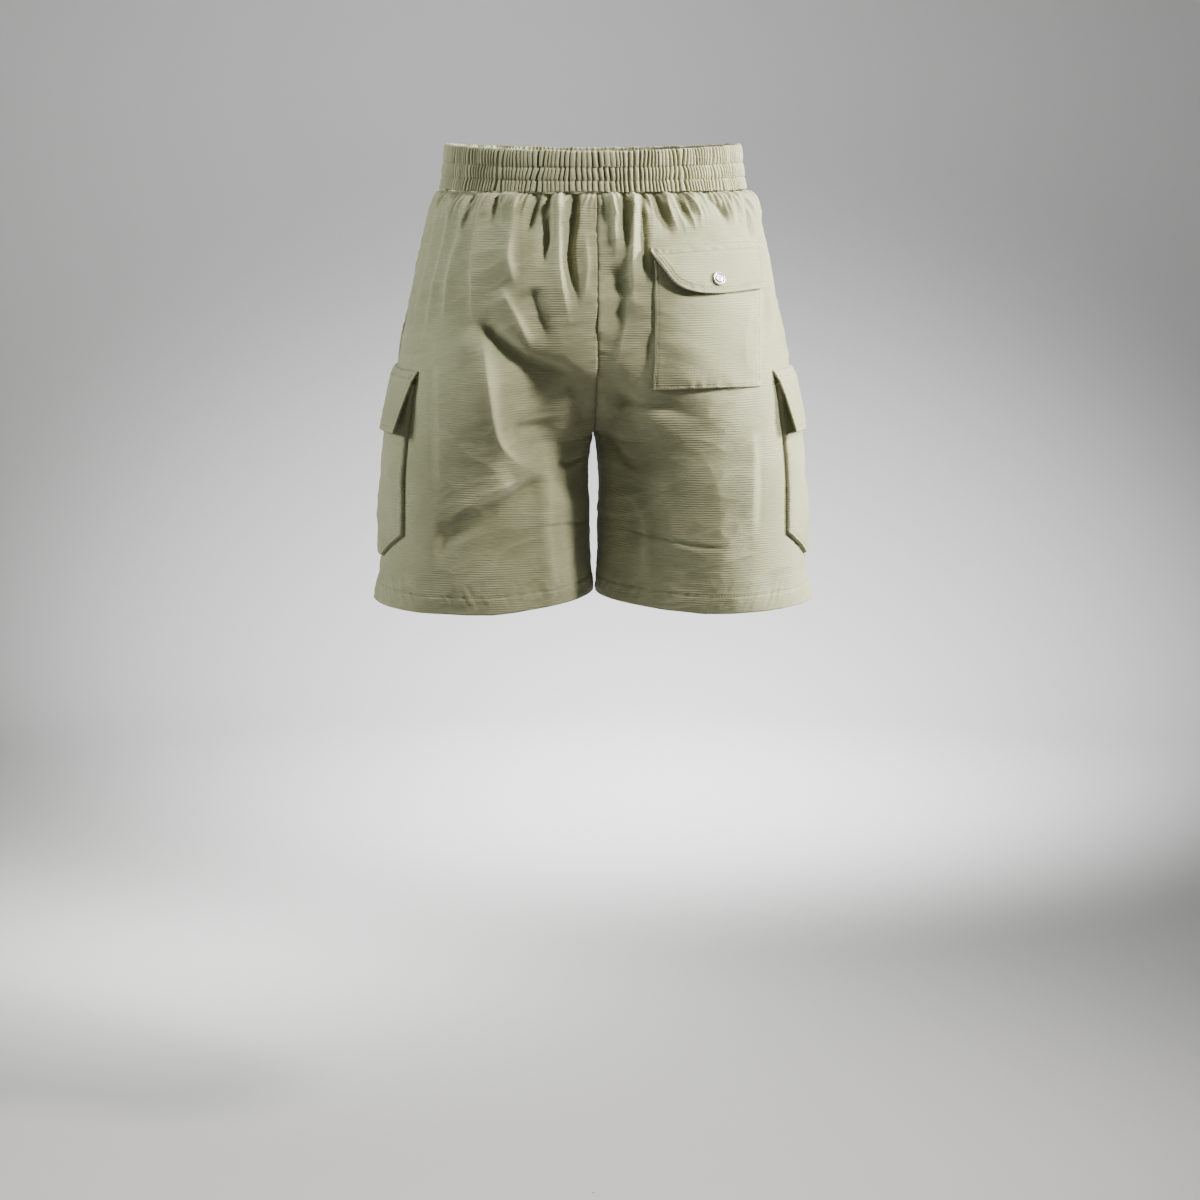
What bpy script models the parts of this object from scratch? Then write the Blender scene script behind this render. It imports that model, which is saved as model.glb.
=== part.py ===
"""Cargo shorts in the form they have when worn: an elastic waistband, four cloth panels,
one back pocket with a snapped flap, and a flapped cargo pocket at the side of each leg.

Metres, +Z up. The front faces -Y and the wearer's left is +X. The origin is the middle of
the waistband ring, halfway up the band. Both legs come from one table of level sections:
a row gives the outermost and innermost reach of a leg and its depth to the back and front.
Above the crotch a leg's section passes the middle plane and is cut there, which makes the
curved centre seam. Below the crotch it closes, which makes the inseam.
"""

from functools import lru_cache
import math

import bmesh
import bpy
from mathutils import Vector
import numpy as np

# Cloth and seams
WALL = 0.0015
SEAM_GAP = 0.0003
HALF_GAP = SEAM_GAP / 2
PATCH_GAP = 0.0007

# Waistband: a pleated ring, pinched at two rows of stitching
BAND_HEIGHT = 0.0445
BAND_WALL = 0.003
BAND_PLEATS = 80
PANEL_TOP = -BAND_HEIGHT / 2 - SEAM_GAP
# Columns: height above the origin, half width, half depth, pleat depth
BAND_RINGS = (
    (BAND_HEIGHT / 2, 0.1465, 0.1035, 0.0024),
    (0.0060, 0.1480, 0.1050, 0.0012),
    (-0.0090, 0.1500, 0.1065, 0.0012),
    (-BAND_HEIGHT / 2, 0.1520, 0.1080, 0.0018),
)
BAND_POWER = 2.2

# Level sections of the left leg. Inner reach below zero passes the middle plane.
# Columns: z, outer reach, inner reach, depth to the back, depth to the front, squareness
SECTIONS = (
    (PANEL_TOP, 0.1520, -0.1520, 0.1080, 0.1040, 2.20),
    (-0.0340, 0.1590, -0.1510, 0.1120, 0.1070, 2.22),
    (-0.0500, 0.1650, -0.1500, 0.1160, 0.1095, 2.25),
    (-0.0830, 0.1740, -0.1480, 0.1240, 0.1130, 2.30),
    (-0.1340, 0.1850, -0.1400, 0.1310, 0.1160, 2.30),
    (-0.1840, 0.1955, -0.1100, 0.1310, 0.1160, 2.30),
    (-0.2200, 0.2005, -0.0620, 0.1270, 0.1140, 2.30),
    (-0.2500, 0.2035, -0.0220, 0.1190, 0.1100, 2.30),
    (-0.2670, 0.2055, 0.0003, 0.1150, 0.1070, 2.30),
    (-0.3000, 0.2090, 0.0050, 0.1110, 0.1040, 2.30),
    (-0.3500, 0.2125, 0.0060, 0.1040, 0.0980, 2.25),
    (-0.4000, 0.2170, 0.0050, 0.0970, 0.0920, 2.20),
    (-0.4350, 0.2235, 0.0015, 0.0910, 0.0870, 2.15),
)
CROTCH_Z = -0.267
HEM_Z = -0.435
HEM_HEIGHT = 0.020
HEM_EXTRA = 0.0006
# The hem line. Columns: share of the way from the side seam to the inseam, drop of the edge
HEM_LINE = ((0.0, 0.001), (0.35, -0.003), (0.60, -0.004), (1.0, 0.009))
HEM_LINE_FROM = -0.320

# Levels of the panels' rows of facets, and their columns from side seam to centre seam
PANEL_LEVELS = (
    PANEL_TOP, -0.034, -0.050, -0.070, -0.095, -0.125, -0.155, -0.184, -0.207, -0.226, -0.241,
    -0.252, -0.260, -0.265, CROTCH_Z, -0.285, -0.315, -0.350, -0.385, -0.414, HEM_Z,
)
BACK_COLUMNS = 20
FRONT_COLUMNS = 14
# Columns run straight down as far as this share of a panel. Those beyond it spread to the
# crotch point. Columns of the table: z, the panel's breadth without that spread
SPREAD_FROM = 0.5
STRAIGHT_BREADTHS = ((PANEL_TOP, 0.205), (-0.134, 0.240), (-0.220, 0.255), (HEM_Z, 0.275))

# Gathers that fall from the band. Columns: z, depth
GATHERS = ((PANEL_TOP, 0.0012), (-0.034, 0.0028), (-0.050, 0.0024), (-0.067, 0.0013), (-0.095, 0.0))
GATHER_COLUMNS = 2

# The largest folds, seen from behind or, on the front, from the front.
# Columns: x and z at the start, x and z at the end, half breadth, height
BACK_FOLDS = (
    (0.060, -0.030, 0.056, -0.100, 0.008, -0.004),
    (0.017, -0.025, 0.021, -0.130, 0.007, -0.004),
    (0.033, -0.060, 0.030, -0.150, 0.010, 0.004),
    (0.149, -0.047, 0.181, -0.170, 0.008, 0.003),
    (0.085, -0.060, 0.108, -0.152, 0.010, 0.004),
    (0.106, -0.160, 0.044, -0.210, 0.013, -0.006),
    (0.044, -0.210, 0.006, -0.234, 0.010, -0.005),
    (0.102, -0.200, 0.078, -0.283, 0.010, 0.005),
    (0.047, -0.302, 0.101, -0.328, 0.012, -0.005),
    (0.101, -0.328, 0.150, -0.365, 0.014, -0.005),
    (-0.039, -0.030, -0.046, -0.130, 0.008, -0.004),
    (-0.020, -0.028, -0.021, -0.070, 0.007, -0.003),
    (-0.018, -0.090, -0.020, -0.190, 0.012, 0.004),
    (-0.010, -0.246, -0.061, -0.251, 0.012, 0.005),
    (-0.061, -0.251, -0.119, -0.310, 0.014, 0.006),
    (-0.119, -0.310, -0.117, -0.383, 0.014, 0.004),
)
FRONT_FOLDS = (
    (0.052, -0.030, 0.057, -0.110, 0.009, -0.004),
    (0.110, -0.030, 0.122, -0.120, 0.010, 0.004),
    (0.020, -0.215, 0.100, -0.262, 0.013, -0.005),
    (0.030, -0.290, 0.120, -0.330, 0.014, 0.005),
    (-0.030, -0.030, -0.034, -0.120, 0.009, -0.004),
    (-0.095, -0.030, -0.110, -0.110, 0.010, 0.004),
    (-0.024, -0.220, -0.110, -0.258, 0.013, -0.005),
    (-0.040, -0.300, -0.130, -0.345, 0.014, 0.005),
)

# Broad swells and hollows of the worn cloth, seen as the folds are.
# Columns: x and z of the middle, half breadth, half height, height
BACK_SWELLS = (
    (0.085, -0.120, 0.050, 0.050, 0.0060),
    (-0.090, -0.140, 0.065, 0.060, 0.0050),
    (0.056, -0.232, 0.034, 0.046, -0.0210),
    (-0.008, -0.260, 0.028, 0.060, -0.0120),
    (0.018, -0.360, 0.030, 0.090, -0.0160),
    (-0.020, -0.350, 0.060, 0.090, -0.0085),
    (-0.118, -0.330, 0.040, 0.080, 0.0040),
    (0.075, -0.370, 0.040, 0.060, -0.0040),
)
FRONT_SWELLS = (
    (0.060, -0.110, 0.060, 0.060, 0.0035),
    (-0.060, -0.110, 0.060, 0.060, 0.0035),
    (0.020, -0.240, 0.050, 0.030, -0.0070),
    (-0.020, -0.240, 0.050, 0.030, -0.0070),
    (0.100, -0.320, 0.050, 0.070, 0.0030),
    (-0.100, -0.320, 0.050, 0.070, 0.0030),
)

# Back pocket, on the wearer's right. Distances from the middle plane, seen from behind
POCKET_NEAR = 0.0545
POCKET_FAR = 0.1600
POCKET_TOP = -0.0870
POCKET_BOTTOM = -0.2115
POCKET_BULGE = 0.0012
POCKET_COLUMNS = 8
POCKET_ROWS = 8
# Its flap. Columns: distance from the middle plane, upper edge, lower edge
BACK_FLAP = (
    (0.0510, -0.0755, -0.0790),
    (0.0545, -0.0753, -0.0860),
    (0.0645, -0.0745, -0.1005),
    (0.0725, -0.0740, -0.1100),
    (0.0835, -0.0732, -0.1160),
    (0.0970, -0.0725, -0.1190),
    (0.1140, -0.0717, -0.1200),
    (0.1320, -0.0713, -0.1193),
    (0.1480, -0.0710, -0.1183),
    (0.1600, -0.0735, -0.1178),
)
BACK_FLAP_ROWS = 4
BACK_FLAP_LIFT = 0.0040

# Cargo pockets, centred on the side seams. Half breadths are measured round the leg
CARGO_TOP = -0.2100
CARGO_BOTTOM = -0.3880
CARGO_HALF_TOP = 0.0835
CARGO_HALF_LOW = 0.0740
CARGO_CLIP_RISE = 0.0280
CARGO_CLIP_IN = 0.0450
CARGO_BULGE = 0.0032
CARGO_COLUMNS = 10
CARGO_LEVELS = (0.0, 0.10, 0.23, 0.38, 0.53, 0.68, 0.78, 0.843, 0.895, 0.948, 1.0)
CARGO_FLAP_TOP = -0.1970
CARGO_FLAP_BOTTOM = -0.2610
CARGO_FLAP_HALF_TOP = 0.0860
CARGO_FLAP_HALF_LOW = 0.0790
CARGO_FLAP_LIFT = 0.0085
CARGO_FLAP_ROWS = 4

# The snap's cap, near the middle of the back flap
SNAP_X = -0.1170
SNAP_Z = -0.1050
SNAP_RADIUS = 0.00675
SNAP_SEGMENTS = 16
# The cap's turned outline. Columns: radius, height above the cloth
SNAP_OUTLINE = (
    (0.0, 0.0),
    (SNAP_RADIUS - 0.0006, 0.0),
    (SNAP_RADIUS, 0.0006),
    (SNAP_RADIUS, 0.0014),
    (SNAP_RADIUS - 0.0008, 0.0021),
    (0.0042, 0.0019),
    (0.0034, 0.0022),
    (0.0018, 0.0026),
    (0.0010, 0.0024),
    (0.0, 0.0025),
)

# Sampling of a section's outline, and the step that finds the cloth's slope
SECTION_SAMPLES = 241
SLOPE_STEP = 0.002

CLOTH_COLOUR = (0.36, 0.34, 0.22, 1.0)
SNAP_COLOUR = (0.62, 0.62, 0.62, 1.0)


def clear_scene():
    """Remove every object that the file holds."""
    for thing in list(bpy.data.objects):
        bpy.data.objects.remove(thing, do_unlink=True)


def make_material(name, colour, roughness, metallic):
    """A plain Principled material."""
    material = bpy.data.materials.new(name)
    material.use_nodes = True
    shader = material.node_tree.nodes["Principled BSDF"]
    shader.inputs["Base Color"].default_value = colour
    shader.inputs["Roughness"].default_value = roughness
    shader.inputs["Metallic"].default_value = metallic
    return material


def make_object(name, vertices, faces, colour=CLOTH_COLOUR, roughness=0.9, metallic=0.0):
    """A closed mesh object whose faces point out, with its own material."""
    mesh = bpy.data.meshes.new(name)
    mesh.from_pydata([tuple(float(c) for c in vertex) for vertex in vertices], [], faces)
    shape = bmesh.new()
    shape.from_mesh(mesh)
    bmesh.ops.recalc_face_normals(shape, faces=shape.faces)
    if shape.calc_volume(signed=True) < 0:
        bmesh.ops.reverse_faces(shape, faces=shape.faces)
    shape.to_mesh(mesh)
    shape.free()
    mesh.shade_smooth()
    mesh.set_sharp_from_angle(angle=math.radians(50))
    mesh.materials.append(make_material(name, colour, roughness, metallic))
    thing = bpy.data.objects.new(name, mesh)
    bpy.context.scene.collection.objects.link(thing)
    return thing


def smooth_step(value):
    """0 below 0, 1 above 1, and a soft curve between."""
    share = np.clip(value, 0.0, 1.0)
    return share * share * (3 - 2 * share)


def table_slopes(levels, values):
    """Slopes at a table's rows that never let the curve overshoot a row."""
    steps = np.diff(values, axis=0) / np.diff(levels)[:, None]
    slopes = np.zeros_like(values)
    before, after = steps[:-1], steps[1:]
    same_way = before * after > 0
    total = np.where(same_way, before + after, 1.0)
    slopes[1:-1] = np.where(same_way, 2 * before * after / total, 0.0)
    slopes[0], slopes[-1] = steps[0], steps[-1]
    return slopes


SECTION_ROWS = np.array(SECTIONS)[::-1]
SECTION_SLOPES = table_slopes(SECTION_ROWS[:, 0], SECTION_ROWS[:, 1:])


@lru_cache(maxsize=None)
def section_row(z):
    """The section table read between its rows: outer, inner, back, front, squareness."""
    levels = SECTION_ROWS[:, 0]
    row = int(np.clip(np.searchsorted(levels, z) - 1, 0, len(levels) - 2))
    step = levels[row + 1] - levels[row]
    t = (z - levels[row]) / step
    start, end = SECTION_ROWS[row, 1:], SECTION_ROWS[row + 1, 1:]
    slope_in, slope_out = SECTION_SLOPES[row] * step, SECTION_SLOPES[row + 1] * step
    return (
        (2 * t**3 - 3 * t**2 + 1) * start
        + (t**3 - 2 * t**2 + t) * slope_in
        + (3 * t**2 - 2 * t**3) * end
        + (t**3 - t**2) * slope_out
    )


@lru_cache(maxsize=None)
def half_section(facing, z):
    """One side of the left leg's outline at a level, from the side seam inwards.

    facing is 1 for the back and -1 for the front. Returns x, y and the length along it.
    """
    outer, inner, back, front, power = section_row(z)
    depth = back if facing > 0 else front
    turn = np.linspace(0.0, math.pi, SECTION_SAMPLES)
    middle, reach = (outer + inner) / 2, (outer - inner) / 2
    x = middle + reach * np.sign(np.cos(turn)) * np.abs(np.cos(turn)) ** (2 / power)
    y = facing * (HALF_GAP + depth * np.abs(np.sin(turn)) ** (2 / power))
    if x[-1] < HALF_GAP:
        y_cut = np.interp(-HALF_GAP, -x, y)
        kept = x > HALF_GAP
        x = np.append(x[kept], HALF_GAP)
        y = np.append(y[kept], y_cut)
    length = np.append(0.0, np.cumsum(np.hypot(np.diff(x), np.diff(y))))
    return x, y, length


def distance_round(share, z, whole):
    """The distance from the side seam of one share of a panel whose outline is whole long."""
    breadths = np.array(STRAIGHT_BREADTHS)[::-1]
    straight = min(np.interp(z, breadths[:, 0], breadths[:, 1]), whole)
    spread = max((share - SPREAD_FROM) / (1 - SPREAD_FROM), 0.0)
    return share * straight + (whole - straight) * spread**1.5


def share_round(distance, z, whole):
    """The share of a panel that lies at a distance from the side seam."""
    shares = np.linspace(0.0, 1.0, SECTION_SAMPLES)
    return float(np.interp(distance, [distance_round(share, z, whole) for share in shares], shares))


def base_point(facing, share, z):
    """A point of the left leg before folds: share runs from side seam to centre seam."""
    x, y, length = half_section(facing, round(z, 6))
    along = distance_round(share, z, length[-1])
    return Vector((np.interp(along, length, x), np.interp(along, length, y), z))


def hem_drop(share, z):
    """How far the hem line moves a level down or up, growing from well above the hem."""
    columns = np.array(HEM_LINE)
    drop = np.interp(share, columns[:, 0], columns[:, 1])
    return drop * smooth_step((HEM_LINE_FROM - z) / (HEM_LINE_FROM - HEM_Z))


def stroke(x, z, fold):
    """The height that one fold adds at a place."""
    x0, z0, x1, z1, breadth, height = fold
    run = np.array((x1 - x0, z1 - z0))
    along = np.dot((x - x0, z - z0), run) / np.dot(run, run)
    held = min(max(along, 0.0), 1.0)
    aside = math.hypot(x - x0 - held * run[0], z - z0 - held * run[1])
    taper = 0.35 + 0.65 * math.sin(math.pi * held)
    return height * taper * math.exp(-((aside / breadth) ** 2))


def calm(side, facing, x, z):
    """1 on free cloth, 0 under a pocket, which holds the cloth flat."""
    fade = 0.014
    cargo = smooth_step((x - 0.150) / fade) * smooth_step((-0.180 - z) / fade)
    cargo *= smooth_step((z + 0.405) / fade)
    still = cargo
    if side < 0 and facing > 0:
        back = smooth_step((x - POCKET_NEAR + fade) / fade) * smooth_step((-0.056 - z) / fade)
        back *= smooth_step((z - POCKET_BOTTOM + fade) / fade)
        still = max(still, back)
    return 1 - still


def relief(side, facing, share, x, z):
    """How far the cloth stands out of the plain section: gathers, folds and the hem."""
    depths = np.array(GATHERS)[::-1]
    columns = BACK_COLUMNS if facing > 0 else FRONT_COLUMNS
    depth = np.interp(z, depths[:, 0], depths[:, 1])
    height = depth * math.cos(2 * math.pi * share * columns / GATHER_COLUMNS)
    for fold in BACK_FOLDS if facing > 0 else FRONT_FOLDS:
        height += stroke(side * x, z, fold)
    seam_hold = smooth_step(share / 0.05) * smooth_step((1 - share) / 0.04)
    hem = HEM_EXTRA * smooth_step((HEM_Z + HEM_HEIGHT + 0.008 - z) / 0.008)
    return height * seam_hold * calm(side, facing, x, z) + hem


def swell(side, facing, x, z, normal):
    """How far swells and hollows move the cloth to the back or front, fading towards a side."""
    height = 0.0
    for middle_x, middle_z, breadth, tall, rise in BACK_SWELLS if facing > 0 else FRONT_SWELLS:
        away = ((side * x - middle_x) / breadth) ** 2 + ((z - middle_z) / tall) ** 2
        height += rise * math.exp(-away)
    return height * abs(normal.y) ** 1.5


def cloth_point(side, facing, share, z, out=0.0):
    """A point of the cloth's outer face, or moved out of it along the plain section's normal."""
    here = base_point(facing, share, z)
    ahead, behind = min(share + 0.01, 1.0), max(share - 0.01, 0.0)
    across = base_point(facing, ahead, z) - base_point(facing, behind, z)
    z_high, z_low = min(z + SLOPE_STEP, PANEL_TOP), z - SLOPE_STEP
    down = base_point(facing, share, z_low) - base_point(facing, share, z_high)
    normal = across.cross(down).normalized() * -facing
    moved = here + normal * (relief(side, facing, share, here.x, z) + out)
    moved.y += facing * swell(side, facing, here.x, z, normal)
    moved.z += hem_drop(share, z)
    return Vector((side * moved.x, moved.y, moved.z))


def keep_to_panel(point, side, facing):
    """Hold a panel's point on its own side of the centre plane, the side seam and the band."""
    point.x = side * max(side * point.x, HALF_GAP)
    point.y = facing * max(facing * point.y, HALF_GAP)
    point.z = min(point.z, PANEL_TOP)
    return point


def shell(outer, inner):
    """Vertices and faces of the closed wall between two grids of points."""
    rows, columns = len(outer), len(outer[0])
    vertices = [point for row in outer for point in row] + [point for row in inner for point in row]
    below = rows * columns
    faces = []
    for row in range(rows - 1):
        for column in range(columns - 1):
            a = row * columns + column
            quad = (a, a + 1, a + columns + 1, a + columns)
            faces.append(quad)
            faces.append(tuple(below + corner for corner in reversed(quad)))
    rim = [column for column in range(columns)]
    rim += [row * columns + columns - 1 for row in range(1, rows)]
    rim += [(rows - 1) * columns + column for column in range(columns - 2, -1, -1)]
    rim += [row * columns for row in range(rows - 2, 0, -1)]
    for first, second in zip(rim, rim[1:] + rim[:1]):
        faces.append((second, first, below + first, below + second))
    return vertices, faces


def build_panel(name, side, facing, columns):
    """One of the four cloth panels, from waist seam to hem."""
    grids = []
    for depth in (0.0, -WALL):
        grid = []
        for level in PANEL_LEVELS:
            row = []
            for column in range(columns + 1):
                inward = depth - (HEM_EXTRA if depth and level <= HEM_Z + HEM_HEIGHT else 0.0)
                point = cloth_point(side, facing, column / columns, level, inward)
                row.append(keep_to_panel(point, side, facing))
            grid.append(row)
        grids.append(grid)
    return make_object(name, *shell(*grids))


def build_waistband():
    """The pleated elastic band: each pleat is a ridge and a valley round the ring."""
    columns = 2 * BAND_PLEATS
    rings = []
    for z, half_width, half_depth, pleat in BAND_RINGS:
        rings.append([(half_width, half_depth, z, pleat), 1.0])
    for z, half_width, half_depth, pleat in (BAND_RINGS[-1], BAND_RINGS[0]):
        rings.append([(half_width - BAND_WALL, half_depth - BAND_WALL, z, pleat), 0.4])
    vertices = []
    for (half_width, half_depth, z, pleat), strength in rings:
        for column in range(columns):
            turn = 2 * math.pi * column / columns
            swing = strength * pleat * (0.5 if column % 2 else -0.5)
            along_x = math.copysign(abs(math.cos(turn)) ** (2 / BAND_POWER), math.cos(turn))
            along_y = math.copysign(abs(math.sin(turn)) ** (2 / BAND_POWER), math.sin(turn))
            vertices.append(((half_width + swing) * along_x, (half_depth + swing) * along_y, z))
    faces = []
    for ring in range(len(rings)):
        below = (ring + 1) % len(rings)
        for column in range(columns):
            after = (column + 1) % columns
            faces.append(
                (
                    ring * columns + column,
                    ring * columns + after,
                    below * columns + after,
                    below * columns + column,
                )
            )
    return make_object("waistband", vertices, faces)


def share_at_x(facing, x, z):
    """The share of the way from side seam to centre seam at a distance from the middle plane."""
    xs, _, length = half_section(facing, round(z, 6))
    return share_round(np.interp(-x, -xs, length), z, length[-1])


def bulge(across, down):
    """0 on a patch's stitched edges and 1 in its middle."""
    return math.sqrt(max(math.sin(math.pi * across) * math.sin(math.pi * down), 0.0))


def build_back_pocket():
    """The patch pocket on the back of the wearer's right leg."""
    grids = []
    for depth in (WALL, 0.0):
        grid = []
        for row in range(POCKET_ROWS + 1):
            down = row / POCKET_ROWS
            z = POCKET_TOP + down * (POCKET_BOTTOM - POCKET_TOP)
            points = []
            for column in range(POCKET_COLUMNS + 1):
                across = column / POCKET_COLUMNS
                x = POCKET_NEAR + across * (POCKET_FAR - POCKET_NEAR)
                out = PATCH_GAP + POCKET_BULGE * bulge(across, down) + depth
                points.append(cloth_point(-1, 1, share_at_x(1, x, z), z, out))
            grid.append(points)
        grids.append(grid)
    return make_object("back_pocket", *shell(*grids))


def flap_rise(down, drop, lift):
    """How far a flap's inner face is out of the panel: it climbs over the pocket's edge."""
    over_edge = PATCH_GAP + WALL + PATCH_GAP
    climb = smooth_step(down * drop / 0.011)
    return PATCH_GAP + climb * over_edge + lift * smooth_step(down)


def back_flap_point(column_row, down, out):
    """A point of the back flap, down from its sewn edge."""
    x, upper, lower = column_row
    z = upper + down * (lower - upper)
    rise = flap_rise(down, upper - lower, BACK_FLAP_LIFT)
    return cloth_point(-1, 1, share_at_x(1, x, z), z, rise + out)


def build_back_flap():
    """The back pocket's flap, with its round inner corner."""
    grids = []
    for depth in (WALL, 0.0):
        grid = []
        for row in range(BACK_FLAP_ROWS + 1):
            down = row / BACK_FLAP_ROWS
            grid.append([back_flap_point(column, down, depth) for column in BACK_FLAP])
        grids.append(grid)
    return make_object("back_pocket_flap", *shell(*grids))


def side_point(side, around, z, out):
    """A point at a distance round the leg from its side seam, to the back where positive."""
    facing = 1 if around >= 0 else -1
    whole = half_section(facing, round(z, 6))[2][-1]
    return cloth_point(side, facing, share_round(abs(around), z, whole), z, out)


def cargo_half(down):
    """Half the breadth of a cargo pocket at a share of its height, with its corners cut off."""
    height = CARGO_TOP - CARGO_BOTTOM
    straight = CARGO_HALF_TOP + down * (CARGO_HALF_LOW - CARGO_HALF_TOP)
    clip_from = 1 - CARGO_CLIP_RISE / height
    return straight - CARGO_CLIP_IN * max(down - clip_from, 0.0) / (1 - clip_from)


def build_cargo_pocket(name, side):
    """A patch pocket over the side seam, its mouth under the flap."""
    grids = []
    for depth in (WALL, 0.0):
        grid = []
        for down in CARGO_LEVELS:
            z = CARGO_TOP + down * (CARGO_BOTTOM - CARGO_TOP)
            points = []
            for column in range(CARGO_COLUMNS + 1):
                across = column / CARGO_COLUMNS
                out = PATCH_GAP + CARGO_BULGE * bulge(across, down) + depth
                points.append(side_point(side, (2 * across - 1) * cargo_half(down), z, out))
            grid.append(points)
        grids.append(grid)
    return make_object(name, *shell(*grids))


def build_cargo_flap(name, side):
    """A cargo pocket's flap: sewn above the mouth and standing off at its lower edge."""
    drop = CARGO_FLAP_TOP - CARGO_FLAP_BOTTOM
    grids = []
    for depth in (WALL, 0.0):
        grid = []
        for row in range(CARGO_FLAP_ROWS + 1):
            down = row / CARGO_FLAP_ROWS
            z = CARGO_FLAP_TOP - down * drop
            half = CARGO_FLAP_HALF_TOP + down * (CARGO_FLAP_HALF_LOW - CARGO_FLAP_HALF_TOP)
            points = []
            for column in range(CARGO_COLUMNS + 1):
                across = 2 * column / CARGO_COLUMNS - 1
                rise = flap_rise(down, drop, CARGO_FLAP_LIFT)
                points.append(side_point(side, across * half, z, rise + depth))
            grid.append(points)
        grids.append(grid)
    return make_object(name, *shell(*grids))


def flap_share_down(z, column_row):
    """How far down the flap a level is at one of its columns."""
    _, upper, lower = column_row
    return (upper - z) / (upper - lower)


def build_snap():
    """The snap's turned cap, standing on the flap square to the cloth."""
    columns = np.array(BACK_FLAP)
    step = 0.004
    spots = []
    for x, z in ((-SNAP_X, SNAP_Z), (-SNAP_X + step, SNAP_Z), (-SNAP_X, SNAP_Z - step)):
        upper = np.interp(x, columns[:, 0], columns[:, 1])
        lower = np.interp(x, columns[:, 0], columns[:, 2])
        row = (x, upper, lower)
        spots.append(back_flap_point(row, flap_share_down(z, row), WALL))
    centre, aside, below = spots
    normal = (below - centre).cross(aside - centre).normalized()
    if normal.y < 0:
        normal.negate()
    vertices, faces = [], []
    rings = []
    for radius, height in SNAP_OUTLINE:
        if radius == 0.0:
            rings.append([len(vertices)])
            vertices.append(Vector((0.0, 0.0, height)))
            continue
        rings.append(list(range(len(vertices), len(vertices) + SNAP_SEGMENTS)))
        for segment in range(SNAP_SEGMENTS):
            turn = 2 * math.pi * segment / SNAP_SEGMENTS
            vertices.append(Vector((radius * math.cos(turn), radius * math.sin(turn), height)))
    for upper, lower in zip(rings, rings[1:]):
        for segment in range(SNAP_SEGMENTS):
            after = (segment + 1) % SNAP_SEGMENTS
            corners = [
                upper[segment % len(upper)],
                upper[after % len(upper)],
                lower[after % len(lower)],
                lower[segment % len(lower)],
            ]
            faces.append(tuple(dict.fromkeys(corners)))
    turn_out = Vector((0.0, 0.0, 1.0)).rotation_difference(normal)
    seat = centre + normal * SEAM_GAP
    placed = [seat + turn_out @ vertex for vertex in vertices]
    return make_object("snap_cap", placed, faces, SNAP_COLOUR, 0.3, 1.0)


def main():
    clear_scene()
    build_waistband()
    for side, side_name in ((1, "left"), (-1, "right")):
        build_panel(f"back_{side_name}", side, 1, BACK_COLUMNS)
        build_panel(f"front_{side_name}", side, -1, FRONT_COLUMNS)
        build_cargo_pocket(f"cargo_pocket_{side_name}", side)
        build_cargo_flap(f"cargo_flap_{side_name}", side)
    build_back_pocket()
    build_back_flap()
    build_snap()


main()
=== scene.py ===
"""Looks of the cargo shorts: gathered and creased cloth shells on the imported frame's form.

Metres, +Z up. The front faces -Y and the wearer's left is +X. Each panel is a fine grid on
the same table of level sections as its solid, moved out by gathers, folds, puckers and hems.
Pockets and flaps are grids that follow the panel below them.
"""

import math

import bpy
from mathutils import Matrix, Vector
import numpy as np


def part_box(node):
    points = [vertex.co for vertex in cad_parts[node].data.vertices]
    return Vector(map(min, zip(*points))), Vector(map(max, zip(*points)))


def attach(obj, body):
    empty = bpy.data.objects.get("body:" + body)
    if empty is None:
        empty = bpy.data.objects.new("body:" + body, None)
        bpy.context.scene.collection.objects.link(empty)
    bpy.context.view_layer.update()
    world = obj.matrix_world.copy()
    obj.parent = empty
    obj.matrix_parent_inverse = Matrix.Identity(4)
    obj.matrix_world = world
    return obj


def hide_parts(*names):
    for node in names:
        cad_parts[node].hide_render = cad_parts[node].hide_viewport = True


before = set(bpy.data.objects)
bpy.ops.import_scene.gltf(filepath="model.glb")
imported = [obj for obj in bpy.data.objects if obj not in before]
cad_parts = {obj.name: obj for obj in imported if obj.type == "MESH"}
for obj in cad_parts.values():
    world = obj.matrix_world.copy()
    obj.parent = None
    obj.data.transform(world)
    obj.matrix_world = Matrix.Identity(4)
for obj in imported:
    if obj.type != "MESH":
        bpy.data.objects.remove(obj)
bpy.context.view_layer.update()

# ---------------------------------------------------------------- sizes, as in the solids
SEAM_GAP = 0.0003
HALF_GAP = SEAM_GAP / 2
CENTRE_SEAM_HALF_GAP = 0.00003
CLOTH = 0.0011

band_low, band_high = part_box("waistband")
BAND_TOP = band_high[2]
BAND_BOTTOM = band_low[2]
PANEL_TOP = BAND_BOTTOM - SEAM_GAP
# Columns: height, half width, half depth
BAND_RINGS = (
    (BAND_BOTTOM, 0.1520, 0.1080),
    (-0.0090, 0.1500, 0.1065),
    (0.0060, 0.1480, 0.1050),
    (BAND_TOP, 0.1465, 0.1035),
)
BAND_POWER = 2.2
BAND_STITCH_ROWS = (0.0042, -0.0098)
BAND_DIP = 0.0050

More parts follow.
